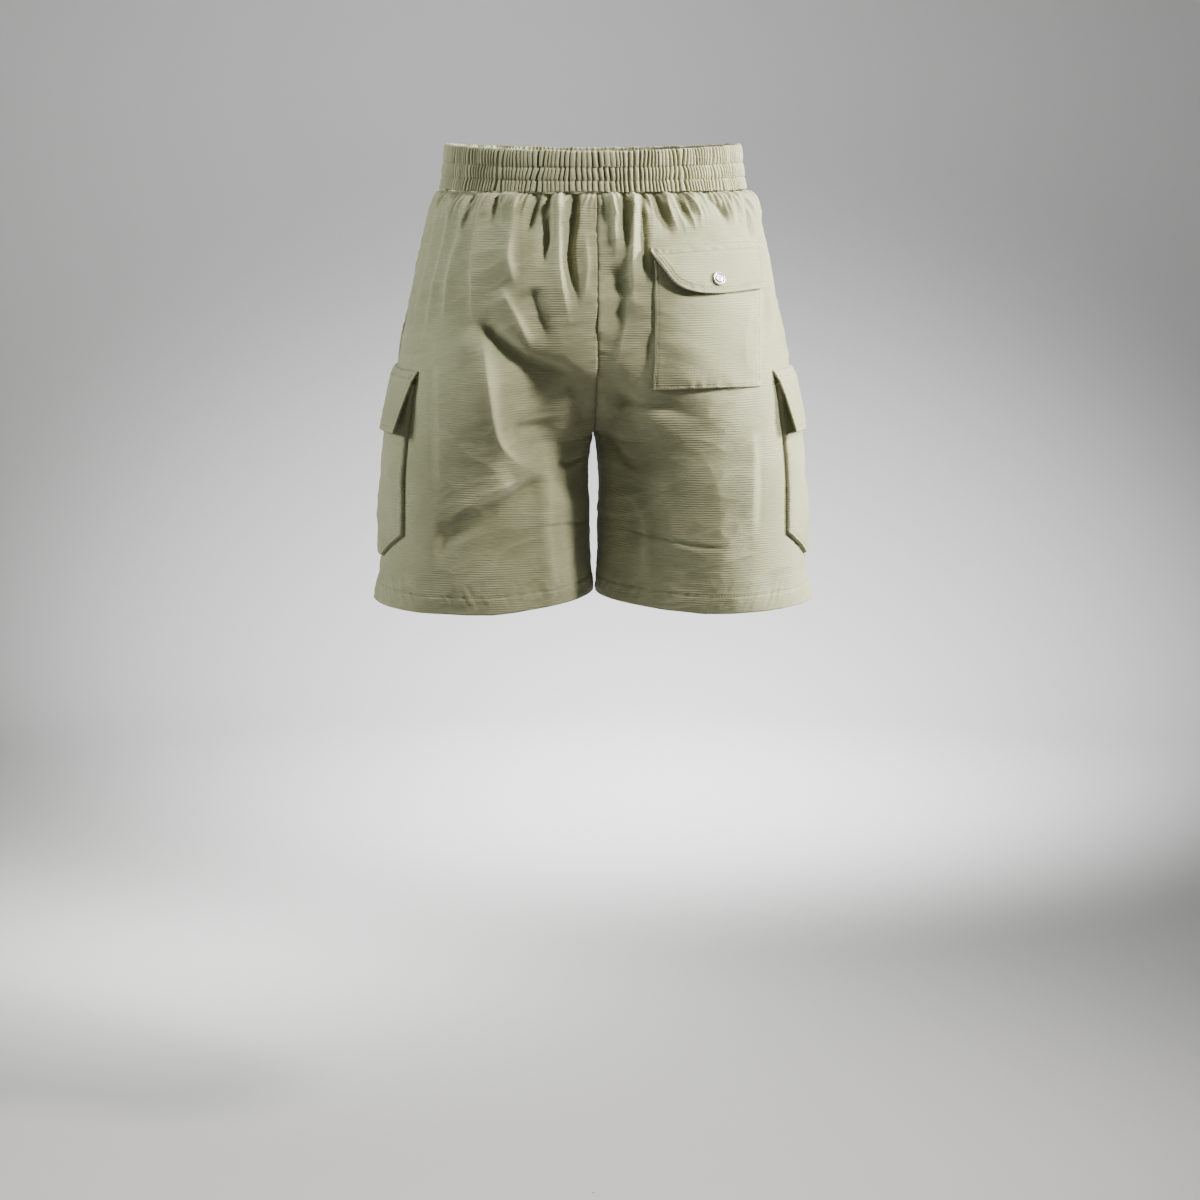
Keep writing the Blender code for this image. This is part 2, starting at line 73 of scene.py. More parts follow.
# Columns: z, outer reach, inner reach, depth to the back, depth to the front, squareness
SECTIONS = (
    (PANEL_TOP, 0.1520, -0.1520, 0.1080, 0.1040, 2.20),
    (-0.0340, 0.1590, -0.1510, 0.1120, 0.1070, 2.22),
    (-0.0500, 0.1650, -0.1500, 0.1160, 0.1095, 2.25),
    (-0.0830, 0.1740, -0.1480, 0.1240, 0.1130, 2.30),
    (-0.1340, 0.1850, -0.1400, 0.1310, 0.1160, 2.30),
    (-0.1840, 0.1955, -0.1100, 0.1310, 0.1160, 2.30),
    (-0.2200, 0.2005, -0.0620, 0.1270, 0.1140, 2.30),
    (-0.2500, 0.2035, -0.0220, 0.1190, 0.1100, 2.30),
    (-0.2670, 0.2055, 0.0003, 0.1150, 0.1070, 2.30),
    (-0.3000, 0.2090, 0.0050, 0.1110, 0.1040, 2.30),
    (-0.3500, 0.2125, 0.0060, 0.1040, 0.0980, 2.25),
    (-0.4000, 0.2170, 0.0050, 0.0970, 0.0920, 2.20),
    (-0.4350, 0.2235, 0.0015, 0.0910, 0.0870, 2.15),
)
HEM_Z = -0.435
HEM_HEIGHT = 0.020
HEM_STITCH_DROP = 0.0018
HEM_LINE = ((0.0, 0.001), (0.35, -0.003), (0.60, -0.004), (1.0, 0.009))
HEM_LINE_FROM = -0.320
SPREAD_FROM = 0.5
STRAIGHT_BREADTHS = ((PANEL_TOP, 0.205), (-0.134, 0.240), (-0.220, 0.255), (HEM_Z, 0.275))

POCKET_NEAR = 0.0545
POCKET_FAR = 0.1600
POCKET_TOP = -0.0870
POCKET_BOTTOM = -0.2115
# Columns: distance from the middle plane, upper edge, lower edge
BACK_FLAP = (
    (0.0510, -0.0755, -0.0790),
    (0.0545, -0.0753, -0.0860),
    (0.0645, -0.0745, -0.1005),
    (0.0725, -0.0740, -0.1100),
    (0.0835, -0.0732, -0.1160),
    (0.0970, -0.0725, -0.1190),
    (0.1140, -0.0717, -0.1200),
    (0.1320, -0.0713, -0.1193),
    (0.1480, -0.0710, -0.1183),
    (0.1600, -0.0735, -0.1178),
)
SNAP_DISTANCE = 0.1170
SNAP_Z = -0.1050
# Columns: radius, height above the cloth
SNAP_OUTLINE = (
    (0.0, -0.0004), (0.0058, -0.0004), (0.00665, 0.0003), (0.00675, 0.0010), (0.00655, 0.0018),
    (0.0060, 0.0021), (0.0055, 0.0019), (0.0050, 0.0009), (0.0045, 0.0008), (0.0041, 0.0014),
    (0.0034, 0.0019), (0.0022, 0.0021), (0.0017, 0.0019), (0.0013, 0.0010), (0.0009, 0.0010),
    (0.0006, 0.0017), (0.0, 0.0018),
)
CARGO_TOP = -0.2100
CARGO_BOTTOM = -0.3880
CARGO_HALF_TOP = 0.0835
CARGO_HALF_LOW = 0.0740
CARGO_CLIP_RISE = 0.0280
CARGO_CLIP_IN = 0.0450
CARGO_FLAP_TOP = -0.1970
CARGO_FLAP_BOTTOM = -0.2610
CARGO_FLAP_HALF_TOP = 0.0860
CARGO_FLAP_HALF_LOW = 0.0790

# Where stitching runs: distances in metres, then insets in rows and columns of a patch's grid
CENTRE_STITCH_X = 0.0022
CENTRE_STITCH_END = -0.262
BACK_FLAP_STITCH_ROWS = (0.0008, 0.0078)
CARGO_FLAP_STITCH_ROWS = (0.0010, 0.0078)
BACK_POCKET_INSET = 2.9
CARGO_POCKET_INSET = 2.4
CARGO_FLAP_INSET_COLUMNS = 5.0
CARGO_FLAP_INSET_ROWS = 7.0
CARGO_FLAP_TOP_GRID_ROWS = (1.4, 9.9)

# ---------------------------------------------------------------- fineness of the meshes
SECTION_SAMPLES = 721
PANEL_ROWS = 294
BACK_PANEL_COLUMNS = 204
FRONT_PANEL_COLUMNS = 150
INNER_STEP = 3
BAND_COLUMNS = 2040
BAND_ROWS = 34

# ---------------------------------------------------------------- the cloth's folds
# Seen from behind, or on the front from the front. Columns: points (x, z), half breadth,
# height, lean. A positive lean makes the slope on the left of the run the wide one, and a
# negative one the slope on its right.
BACK_FOLDS = (
    # left hip: long gathers that fall from the band towards the cargo pocket
    (((0.146, -0.010), (0.156, -0.060), (0.170, -0.120), (0.184, -0.178)), 0.0060, 0.0036, -0.4),
    (((0.136, -0.010), (0.144, -0.060), (0.158, -0.118), (0.172, -0.180)), 0.0060, 0.0036, -0.4),
    (((0.122, -0.012), (0.131, -0.062), (0.143, -0.108), (0.152, -0.165)), 0.0075, 0.0044, -0.4),
    (((0.104, -0.014), (0.112, -0.050), (0.119, -0.100), (0.121, -0.160)), 0.0080, 0.0036, -0.5),
    (((0.092, -0.004), (0.095, -0.034), (0.104, -0.062)), 0.0040, -0.0038, 0.0),
    (((0.114, -0.004), (0.120, -0.034), (0.132, -0.070)), 0.0040, -0.0036, 0.0),
    # left cheek
    (((0.076, -0.006), (0.079, -0.045), (0.084, -0.085), (0.078, -0.120)), 0.0140, 0.0085, 0.5),
    (((0.058, 0.000), (0.059, -0.026), (0.064, -0.048), (0.070, -0.064)), 0.0034, -0.0060, 0.0),
    (((0.043, 0.002), (0.046, -0.040), (0.048, -0.070), (0.054, -0.096)), 0.0050, -0.0085, 0.4),
    (((0.034, -0.006), (0.036, -0.055), (0.035, -0.100), (0.027, -0.150)), 0.0080, 0.0075, 0.5),
    (((0.017, 0.002), (0.022, -0.045), (0.026, -0.085), (0.018, -0.135)), 0.0052, -0.0090, 0.5),
    (((0.012, -0.055), (0.010, -0.095), (0.014, -0.130)), 0.0055, 0.0030, 0.0),
    (((0.094, -0.112), (0.078, -0.140), (0.062, -0.176)), 0.0120, 0.0060, 0.5),
    (((0.066, -0.110), (0.058, -0.135), (0.048, -0.170)), 0.0110, -0.0055, 0.3),
    # under the left cheek: a shadowed trough and the sharp fold that stands beside it
    (((0.118, -0.146), (0.098, -0.160), (0.072, -0.182), (0.044, -0.193), (0.000, -0.208)),
     0.0145, -0.0128, 0.45),
    (((0.114, -0.140), (0.108, -0.170), (0.103, -0.209), (0.097, -0.254), (0.084, -0.278),
      (0.055, -0.300)), 0.0230, 0.0145, 0.40),
    (((0.088, -0.250), (0.060, -0.252), (0.024, -0.260)), 0.0100, -0.0042, 0.2),
    (((0.040, -0.288), (0.026, -0.291), (0.006, -0.284)), 0.0034, -0.0034, 0.0),
    # left leg
    (((0.044, -0.303), (0.070, -0.314), (0.101, -0.332), (0.146, -0.361), (0.190, -0.395)),
     0.0140, -0.0070, -0.3),
    (((0.078, -0.300), (0.110, -0.318), (0.150, -0.342)), 0.0100, 0.0050, 0.3),
    (((0.044, -0.300), (0.050, -0.345), (0.045, -0.404), (0.044, -0.445)), 0.0220, 0.0070, -0.5),
    (((0.030, -0.200), (0.014, -0.236), (0.003, -0.272)), 0.0160, -0.0060, 0.0),
    # beside the centre seam on the right
    (((-0.013, -0.004), (-0.016, -0.045), (-0.018, -0.092)), 0.0070, 0.0060, -0.4),
    (((-0.026, 0.002), (-0.026, -0.040), (-0.027, -0.082)), 0.0036, -0.0065, 0.0),
    (((-0.034, -0.004), (-0.035, -0.050), (-0.033, -0.095), (-0.036, -0.140)), 0.0062, 0.0062, -0.4),
    (((-0.043, 0.002), (-0.044, -0.040), (-0.045, -0.076), (-0.046, -0.115)), 0.0044, -0.0058, 0.2),
    (((-0.010, -0.088), (-0.018, -0.108), (-0.024, -0.140), (-0.018, -0.200)), 0.0140, -0.0068, 0.2),
    (((-0.034, -0.112), (-0.026, -0.150), (-0.016, -0.200)), 0.0090, 0.0050, -0.4),
    (((-0.052, -0.150), (-0.046, -0.185), (-0.030, -0.220)), 0.0100, -0.0022, 0.3),
    # above the right pocket
    (((-0.052, 0.000), (-0.060, -0.034), (-0.074, -0.066)), 0.0044, -0.0052, 0.2),
    (((-0.062, -0.004), (-0.068, -0.034), (-0.081, -0.064)), 0.0050, 0.0040, 0.0),
    (((-0.073, 0.000), (-0.080, -0.030), (-0.090, -0.050)), 0.0034, -0.0046, 0.0),
    (((-0.086, -0.004), (-0.094, -0.032), (-0.103, -0.060)), 0.0060, 0.0034, 0.0),
    (((-0.100, 0.000), (-0.112, -0.028), (-0.124, -0.040), (-0.130, -0.058)), 0.0036, -0.0050, 0.2),
    (((-0.116, -0.002), (-0.130, -0.030), (-0.138, -0.060)), 0.0046, 0.0042, 0.0),
    (((-0.124, 0.000), (-0.136, -0.030), (-0.146, -0.064)), 0.0034, -0.0042, 0.0),
    (((-0.140, 0.000), (-0.150, -0.040), (-0.158, -0.076)), 0.0036, -0.0044, 0.0),
    # right side
    (((-0.152, -0.010), (-0.163, -0.060), (-0.174, -0.110), (-0.178, -0.185)), 0.0060, 0.0040, 0.5),
    (((-0.146, -0.030), (-0.158, -0.080), (-0.168, -0.120), (-0.168, -0.180)), 0.0050, -0.0036, 0.0),
    # right leg: a broad lit side that turns into shade towards the inseam
    (((-0.004, -0.247), (-0.061, -0.250), (-0.090, -0.266), (-0.113, -0.296), (-0.121, -0.335),
      (-0.116, -0.410)), 0.0320, 0.0024, 0.20),
    (((-0.046, -0.286), (-0.068, -0.330), (-0.084, -0.400)), 0.0240, 0.0030, 0.2),
    (((-0.004, -0.262), (-0.024, -0.282), (-0.042, -0.300)), 0.0060, -0.0045, 0.0),
    (((-0.034, -0.214), (-0.016, -0.244), (-0.004, -0.272)), 0.0140, -0.0050, 0.0),
    (((-0.006, -0.232), (-0.050, -0.230), (-0.110, -0.240)), 0.0090, -0.0050, -0.3),
    (((-0.150, -0.250), (-0.160, -0.310), (-0.156, -0.380)), 0.0140, 0.0030, 0.0),
    (((-0.015, -0.353), (-0.072, -0.363), (-0.103, -0.368), (-0.146, -0.371)), 0.0016, -0.0016, 0.0),
    (((0.060, -0.350), (0.030, -0.352), (0.004, -0.357)), 0.0016, -0.0014, 0.0),
    (((-0.030, -0.310), (-0.050, -0.350), (-0.046, -0.410)), 0.0110, 0.0040, 0.3),
)
FRONT_FOLDS = (
    (((-0.018, 0.000), (-0.021, -0.040), (-0.022, -0.100)), 0.0050, -0.0050, 0.0),
    (((-0.032, -0.003), (-0.034, -0.060), (-0.031, -0.130)), 0.0070, 0.0045, 0.2),
    (((-0.048, 0.000), (-0.052, -0.040), (-0.058, -0.105)), 0.0050, -0.0052, 0.0),
    (((-0.078, -0.003), (-0.085, -0.050), (-0.098, -0.140)), 0.0075, 0.0048, 0.2),
    (((-0.100, 0.000), (-0.110, -0.040), (-0.124, -0.095)), 0.0048, -0.0044, 0.0),
    (((-0.128, -0.003), (-0.139, -0.060), (-0.158, -0.150)), 0.0070, 0.0040, -0.2),
    (((0.014, 0.000), (0.017, -0.040), (0.016, -0.120)), 0.0050, -0.0050, 0.0),
    (((0.030, -0.003), (0.033, -0.050), (0.036, -0.110)), 0.0065, 0.0045, 0.0),
    (((0.046, 0.000), (0.049, -0.035), (0.052, -0.080)), 0.0046, -0.0050, 0.0),
    (((0.070, -0.003), (0.079, -0.050), (0.088, -0.120)), 0.0075, 0.0046, 0.2),
    (((0.094, 0.000), (0.102, -0.040), (0.119, -0.110)), 0.0050, -0.0046, 0.0),
    (((0.122, -0.003), (0.136, -0.060), (0.160, -0.160)), 0.0070, 0.0040, 0.0),
    (((-0.004, -0.236), (-0.050, -0.238), (-0.104, -0.222), (-0.150, -0.196)), 0.0110, -0.0065, 0.2),
    (((-0.006, -0.250), (-0.060, -0.262), (-0.120, -0.290)), 0.0120, 0.0060, 0.2),
    (((0.004, -0.234), (0.046, -0.232), (0.092, -0.214), (0.140, -0.176)), 0.0120, -0.0070, 0.2),
    (((0.008, -0.252), (0.070, -0.258), (0.128, -0.300)), 0.0130, 0.0062, 0.2),
    (((-0.030, -0.290), (-0.080, -0.330), (-0.130, -0.372)), 0.0130, -0.0050, 0.0),
    (((0.040, -0.296), (0.088, -0.322), (0.150, -0.352)), 0.0130, -0.0055, 0.0),
    (((-0.060, -0.320), (-0.070, -0.380), (-0.066, -0.430)), 0.0150, 0.0040, 0.0),
    (((0.070, -0.330), (0.064, -0.385), (0.070, -0.430)), 0.0150, 0.0042, 0.0),
)
# On the pockets. A cargo pocket's first figure is the distance round from the side seam.
BACK_POCKET_FOLDS = ((((0.150, -0.125), (0.142, -0.165), (0.146, -0.205)), 0.0080, 0.0014, 0.3),)
CARGO_POCKET_FOLDS = (
    (((-0.050, -0.285), (0.000, -0.310), (0.050, -0.300)), 0.0110, -0.0022, 0.0),
    (((-0.040, -0.340), (0.010, -0.350), (0.056, -0.335)), 0.0090, 0.0018, 0.0),
)
# Broad shapes of the worn cloth. Columns: x, z, half breadth, half height, height
BACK_SWELLS = (
    (0.085, -0.120, 0.050, 0.050, 0.0060),
    (-0.090, -0.140, 0.065, 0.060, 0.0050),
    (0.056, -0.232, 0.034, 0.046, -0.0210),
    (-0.008, -0.260, 0.028, 0.060, -0.0120),
    (0.018, -0.360, 0.030, 0.090, -0.0160),
    (-0.020, -0.350, 0.060, 0.090, -0.0085),
    (-0.118, -0.330, 0.040, 0.080, 0.0040),
    (0.075, -0.370, 0.040, 0.060, -0.0040),
)
FRONT_SWELLS = (
    (0.060, -0.110, 0.060, 0.060, 0.0035),
    (-0.060, -0.110, 0.060, 0.060, 0.0035),
    (0.020, -0.240, 0.050, 0.030, -0.0070),
    (-0.020, -0.240, 0.050, 0.030, -0.0070),
    (0.100, -0.320, 0.050, 0.070, 0.0030),
    (-0.100, -0.320, 0.050, 0.070, 0.0030),
)
FLUTE_SEED = 7
WRINKLE_SEED = 21


# ---------------------------------------------------------------- small maths
def smooth_step(value):
    """0 below 0, 1 above 1, and a soft curve between."""
    share = np.clip(value, 0.0, 1.0)
    return share * share * (3 - 2 * share)


def noise(u, v, seed, cells=64):
    """Smooth noise from -1 to 1 with one wave to about two units, repeating after cells units."""
    grid = np.random.default_rng(seed).uniform(-1, 1, (cells, cells))
    u, v = np.broadcast_arrays(np.asarray(u, float), np.asarray(v, float))
    left, low = np.floor(u).astype(int), np.floor(v).astype(int)
    s, t = smooth_step(u - left), smooth_step(v - low)
    left, low = left % cells, low % cells
    right, high = (left + 1) % cells, (low + 1) % cells
    bottom = grid[left, low] * (1 - s) + grid[right, low] * s
    top = grid[left, high] * (1 - s) + grid[right, high] * s
    return bottom * (1 - t) + top * t


def curve_through(points, samples):
    """A smooth curve through a few points."""
    points = np.array(points, float)
    ends = np.vstack([2 * points[0] - points[1], points, 2 * points[-1] - points[-2]])
    at = np.linspace(0, len(points) - 1, samples)
    piece = np.minimum(at.astype(int), len(points) - 2)
    t = (at - piece)[:, None]
    p0, p1, p2, p3 = (ends[piece + k] for k in range(4))
    return 0.5 * (
        2 * p1
        + (p2 - p0) * t
        + (2 * p0 - 5 * p1 + 4 * p2 - p3) * t**2
        + (3 * p1 - p0 - 3 * p2 + p3) * t**3
    )


def fold_field(across, up, folds):
    """The height that a table of folds adds: ridges have a crisp crest, troughs a softer bed."""
    total = np.zeros_like(across)
    for points, breadth, height, lean in folds:
        line = curve_through(points, 6 * len(points))
        reach = 3.0 * breadth * (1 + abs(lean))
        low, high = line.min(axis=0) - reach, line.max(axis=0) + reach
        near = (across > low[0]) & (across < high[0]) & (up > low[1]) & (up < high[1])
        if not near.any():
            continue
        px, pz = across[near], up[near]
        best = np.full(px.shape, np.inf)
        turned, along = np.zeros_like(px), np.zeros_like(px)
        count = len(line) - 1
        for index in range(count):
            start, run = line[index], line[index + 1] - line[index]
            held = ((px - start[0]) * run[0] + (pz - start[1]) * run[1]) / (run @ run)
            held = np.clip(held, 0, 1)
            off_x, off_z = px - start[0] - held * run[0], pz - start[1] - held * run[1]
            far = np.hypot(off_x, off_z)
            closer = far < best
            best = np.where(closer, far, best)
            turned = np.where(closer, np.sign(run[0] * off_z - run[1] * off_x), turned)
            along = np.where(closer, (index + held) / count, along)
        taper = smooth_step(along / 0.22) * smooth_step((1 - along) / 0.35)
        width = breadth * (1 + lean * np.tanh(turned * best / breadth * 4))
        power = 1.15 if height > 0 else 1.5
        total[near] += height * taper * np.exp(-((best / width) ** power))
    return total


def creases(u, v, seed):
    """Small crossing creases from -1 to 1: rounded swells between sharp lines."""
    bend = noise(u * 0.6, v * 0.6, seed + 50)
    return 1 - 2.4 * np.abs(noise(u + 0.7 * bend, v + 0.5 * bend, seed)) ** 0.75


# ---------------------------------------------------------------- the plain form
def table_slopes(levels, values):
    """Slopes at a table's rows that never let the curve overshoot a row."""
    steps = np.diff(values, axis=0) / np.diff(levels)[:, None]
    slopes = np.zeros_like(values)
    before, after = steps[:-1], steps[1:]
    same_way = before * after > 0
    total = np.where(same_way, before + after, 1.0)
    slopes[1:-1] = np.where(same_way, 2 * before * after / total, 0.0)
    slopes[0], slopes[-1] = steps[0], steps[-1]
    return slopes


SECTION_ROWS = np.array(SECTIONS)[::-1]
SECTION_SLOPES = table_slopes(SECTION_ROWS[:, 0], SECTION_ROWS[:, 1:])


def section_row(z):
    """The section table read between its rows: outer, inner, back, front, squareness."""
    levels = SECTION_ROWS[:, 0]
    row = int(np.clip(np.searchsorted(levels, z) - 1, 0, len(levels) - 2))
    step = levels[row + 1] - levels[row]
    t = (z - levels[row]) / step
    start, end = SECTION_ROWS[row, 1:], SECTION_ROWS[row + 1, 1:]
    slope_in, slope_out = SECTION_SLOPES[row] * step, SECTION_SLOPES[row + 1] * step
    return (
        (2 * t**3 - 3 * t**2 + 1) * start
        + (t**3 - 2 * t**2 + t) * slope_in
        + (3 * t**2 - 2 * t**3) * end
        + (t**3 - t**2) * slope_out
    )


def half_section(facing, z):
    """One side of the left leg's outline at a level: x, y and the length from the side seam."""
    outer, inner, back, front, power = section_row(z)
    depth = back if facing > 0 else front
    turn = np.linspace(0.0, math.pi, SECTION_SAMPLES)
    middle, reach = (outer + inner) / 2, (outer - inner) / 2
    x = middle + reach * np.sign(np.cos(turn)) * np.abs(np.cos(turn)) ** (2 / power)
    y = facing * (HALF_GAP + depth * np.abs(np.sin(turn)) ** (2 / power))
    if x[-1] < HALF_GAP:
        y_cut = np.interp(-HALF_GAP, -x, y)
        kept = x > HALF_GAP
        x = np.append(x[kept], HALF_GAP)
        y = np.append(y[kept], y_cut)
    length = np.append(0.0, np.cumsum(np.hypot(np.diff(x), np.diff(y))))
    return x, y, length


def distances_round(shares, z, whole):
    """Distances from the side seam of a panel's shares at a level whose outline is whole long."""
    breadths = np.array(STRAIGHT_BREADTHS)[::-1]
    straight = min(np.interp(z, breadths[:, 0], breadths[:, 1]), whole)
    spread = np.maximum((shares - SPREAD_FROM) / (1 - SPREAD_FROM), 0.0)
    return shares * straight + (whole - straight) * spread**1.5


def normals_of(points):
    """Unit normals of a grid of points; their sign is the caller's."""
    down = np.gradient(points, axis=0)
    across = np.gradient(points, axis=1)
    normal = np.cross(across, down)
    return normal / np.maximum(np.linalg.norm(normal, axis=2, keepdims=True), 1e-12)


class Panel:
    """The outer face of one panel as a grid: rows run down, columns from side seam inwards."""

    def __init__(self, side, facing, columns):
        self.side, self.facing = side, facing
        self.shares = np.linspace(0, 1, columns + 1)
        self.levels = panel_levels()
        rows = len(self.levels)
        self.plain = np.zeros((rows, columns + 1, 3))
        self.round = np.zeros((rows, columns + 1))
        for row, z in enumerate(self.levels):
            x, y, length = half_section(facing, z)
            along = distances_round(self.shares, z, length[-1])
            self.round[row] = along
            self.plain[row, :, 0] = np.interp(along, length, x)
            self.plain[row, :, 1] = np.interp(along, length, y)
            self.plain[row, :, 2] = z
        self.normal = normals_of(self.plain) * -facing
        self.whole = self.round[:, -1:]
        drop = np.interp(self.shares, *np.array(HEM_LINE).T)[None, :]
        grow = smooth_step((HEM_LINE_FROM - self.levels) / (HEM_LINE_FROM - HEM_Z))[:, None]
        self.drop = drop * grow
        self.swell = swell(self)
        self.height = relief(self)
        self.outer = self.moved(self.height)

    def moved(self, height):
        """The grid moved out by a height at each point, held on its own side of each seam."""
        points = self.plain + self.normal * height[:, :, None]
        points[:, :, 1] += self.swell
        points[:, :, 2] += self.drop
        points[:, :, 0] = np.maximum(points[:, :, 0], HALF_GAP)
        points[:, :, 1] = self.facing * np.maximum(self.facing * points[:, :, 1], HALF_GAP)
        points[:, :, 2] = np.minimum(points[:, :, 2], PANEL_TOP + 0.0012)
        # folds would draw the centre seam open, so its edge column is set by the middle plane
        on_centre = self.plain[:, -1, 0] < 2 * HALF_GAP
        points[on_centre, -1, 0] = CENTRE_SEAM_HALF_GAP
        points[:, :, 0] *= self.side
        return points

    def place(self, row, column, out):
        """Points at fractional rows and columns, moved out of the cloth along the plain form."""
        height = sample(self.height, row, column)
        spot = sample(self.plain, row, column)
        normal = sample(self.normal, row, column)
        normal /= np.linalg.norm(normal, axis=-1, keepdims=True)
        spot = spot + normal * (height + out)[..., None]
        spot[..., 1] += sample(self.swell, row, column)
        spot[..., 2] += sample(self.drop, row, column)
        spot[..., 0] *= self.side
        return spot

    def row_at(self, z):
        """Fractional rows of levels."""
        return np.interp(-np.asarray(z), -self.levels, np.arange(len(self.levels)))

    def columns_where(self, wanted, table, z):
        """Fractional columns at which each level's row of a table has the wanted values."""
        rows = np.clip(np.round(self.row_at(z)).astype(int), 0, len(self.levels) - 1)
        found = np.zeros(np.shape(rows))
        columns = np.arange(len(self.shares))
        for index in np.ndindex(found.shape):
            found[index] = np.interp(wanted[index], table[rows[index]], columns)
        return found

    def column_at_x(self, x, z):
        """Fractional columns of distances from the middle plane."""
        return self.columns_where(-x, -self.plain[:, :, 0], z)

    def column_round(self, distance, z):
        """Fractional columns of distances round the leg from the side seam."""
        return self.columns_where(distance, self.round, z)


def sample(grid, row, column):
    """A grid read between its points."""
    row = np.clip(row, 0, grid.shape[0] - 1.0001)
    column = np.clip(column, 0, grid.shape[1] - 1.0001)
    i, j = row.astype(int), column.astype(int)
    s, t = row - i, column - j
    if grid.ndim == 3:
        s, t = s[..., None], t[..., None]
    return (
        grid[i, j] * (1 - s) * (1 - t)
        + grid[i + 1, j] * s * (1 - t)
        + grid[i, j + 1] * (1 - s) * t
        + grid[i + 1, j + 1] * s * t
    )


def panel_levels():
    """Levels of a panel's rows: close together at the gathers and even below."""
    t = np.linspace(0, 1, PANEL_ROWS + 1)
    warped = 0.86 * t + 0.14 * t**2
    return PANEL_TOP + (HEM_Z - PANEL_TOP) * warped


# ---------------------------------------------------------------- gathers, folds and puckers
def flutes(seed):
    """Short uneven gathers that fall from the band all round."""
    draw = np.random.default_rng(seed)
    folds = []
    at = 0.004
    while at < 0.205:
        fall = draw.uniform(0.022, 0.060)
        lean = (0.103 - at) / 0.103 * -0.012 * fall / 0.05
        height = draw.uniform(0.0014, 0.0034)
        breadth = draw.uniform(0.0024, 0.0044)
        top = PANEL_TOP + 0.016
        folds.append(
            (((at, top), (at + lean / 2, top - fall / 2), (at + lean, top - fall)), breadth, height, 0.0)
        )
        at += draw.uniform(0.0065, 0.0125)
    return folds


def calm(panel):
    """1 on free cloth, 0 under a pocket, which holds the cloth flat."""
    x, z = panel.plain[:, :, 0], panel.plain[:, :, 2]
    fade = 0.012
    still = smooth_step((x - 0.152) / fade) * smooth_step((-0.186 - z) / fade)
    still *= smooth_step((z + 0.402) / fade)
    if panel.side < 0 and panel.facing > 0:
        back = smooth_step((x - POCKET_NEAR + 0.006) / 0.007) * smooth_step((-0.064 - z) / 0.010)
        back *= smooth_step((z - POCKET_BOTTOM + 0.004) / 0.008)
        back *= smooth_step((POCKET_FAR + 0.006 - x) / 0.008)
        still = np.maximum(still, back)
    return 1 - still


def swell(panel):
    """How far the broad swells and hollows move a panel's cloth to the back or front."""
    signed, z = panel.side * panel.plain[:, :, 0], panel.plain[:, :, 2]
    height = np.zeros_like(z)
    for x, level, breadth, tall, rise in BACK_SWELLS if panel.facing > 0 else FRONT_SWELLS:
        height += rise * np.exp(-(((signed - x) / breadth) ** 2) - ((z - level) / tall) ** 2)
    return panel.facing * height * np.abs(panel.normal[:, :, 1]) ** 1.5


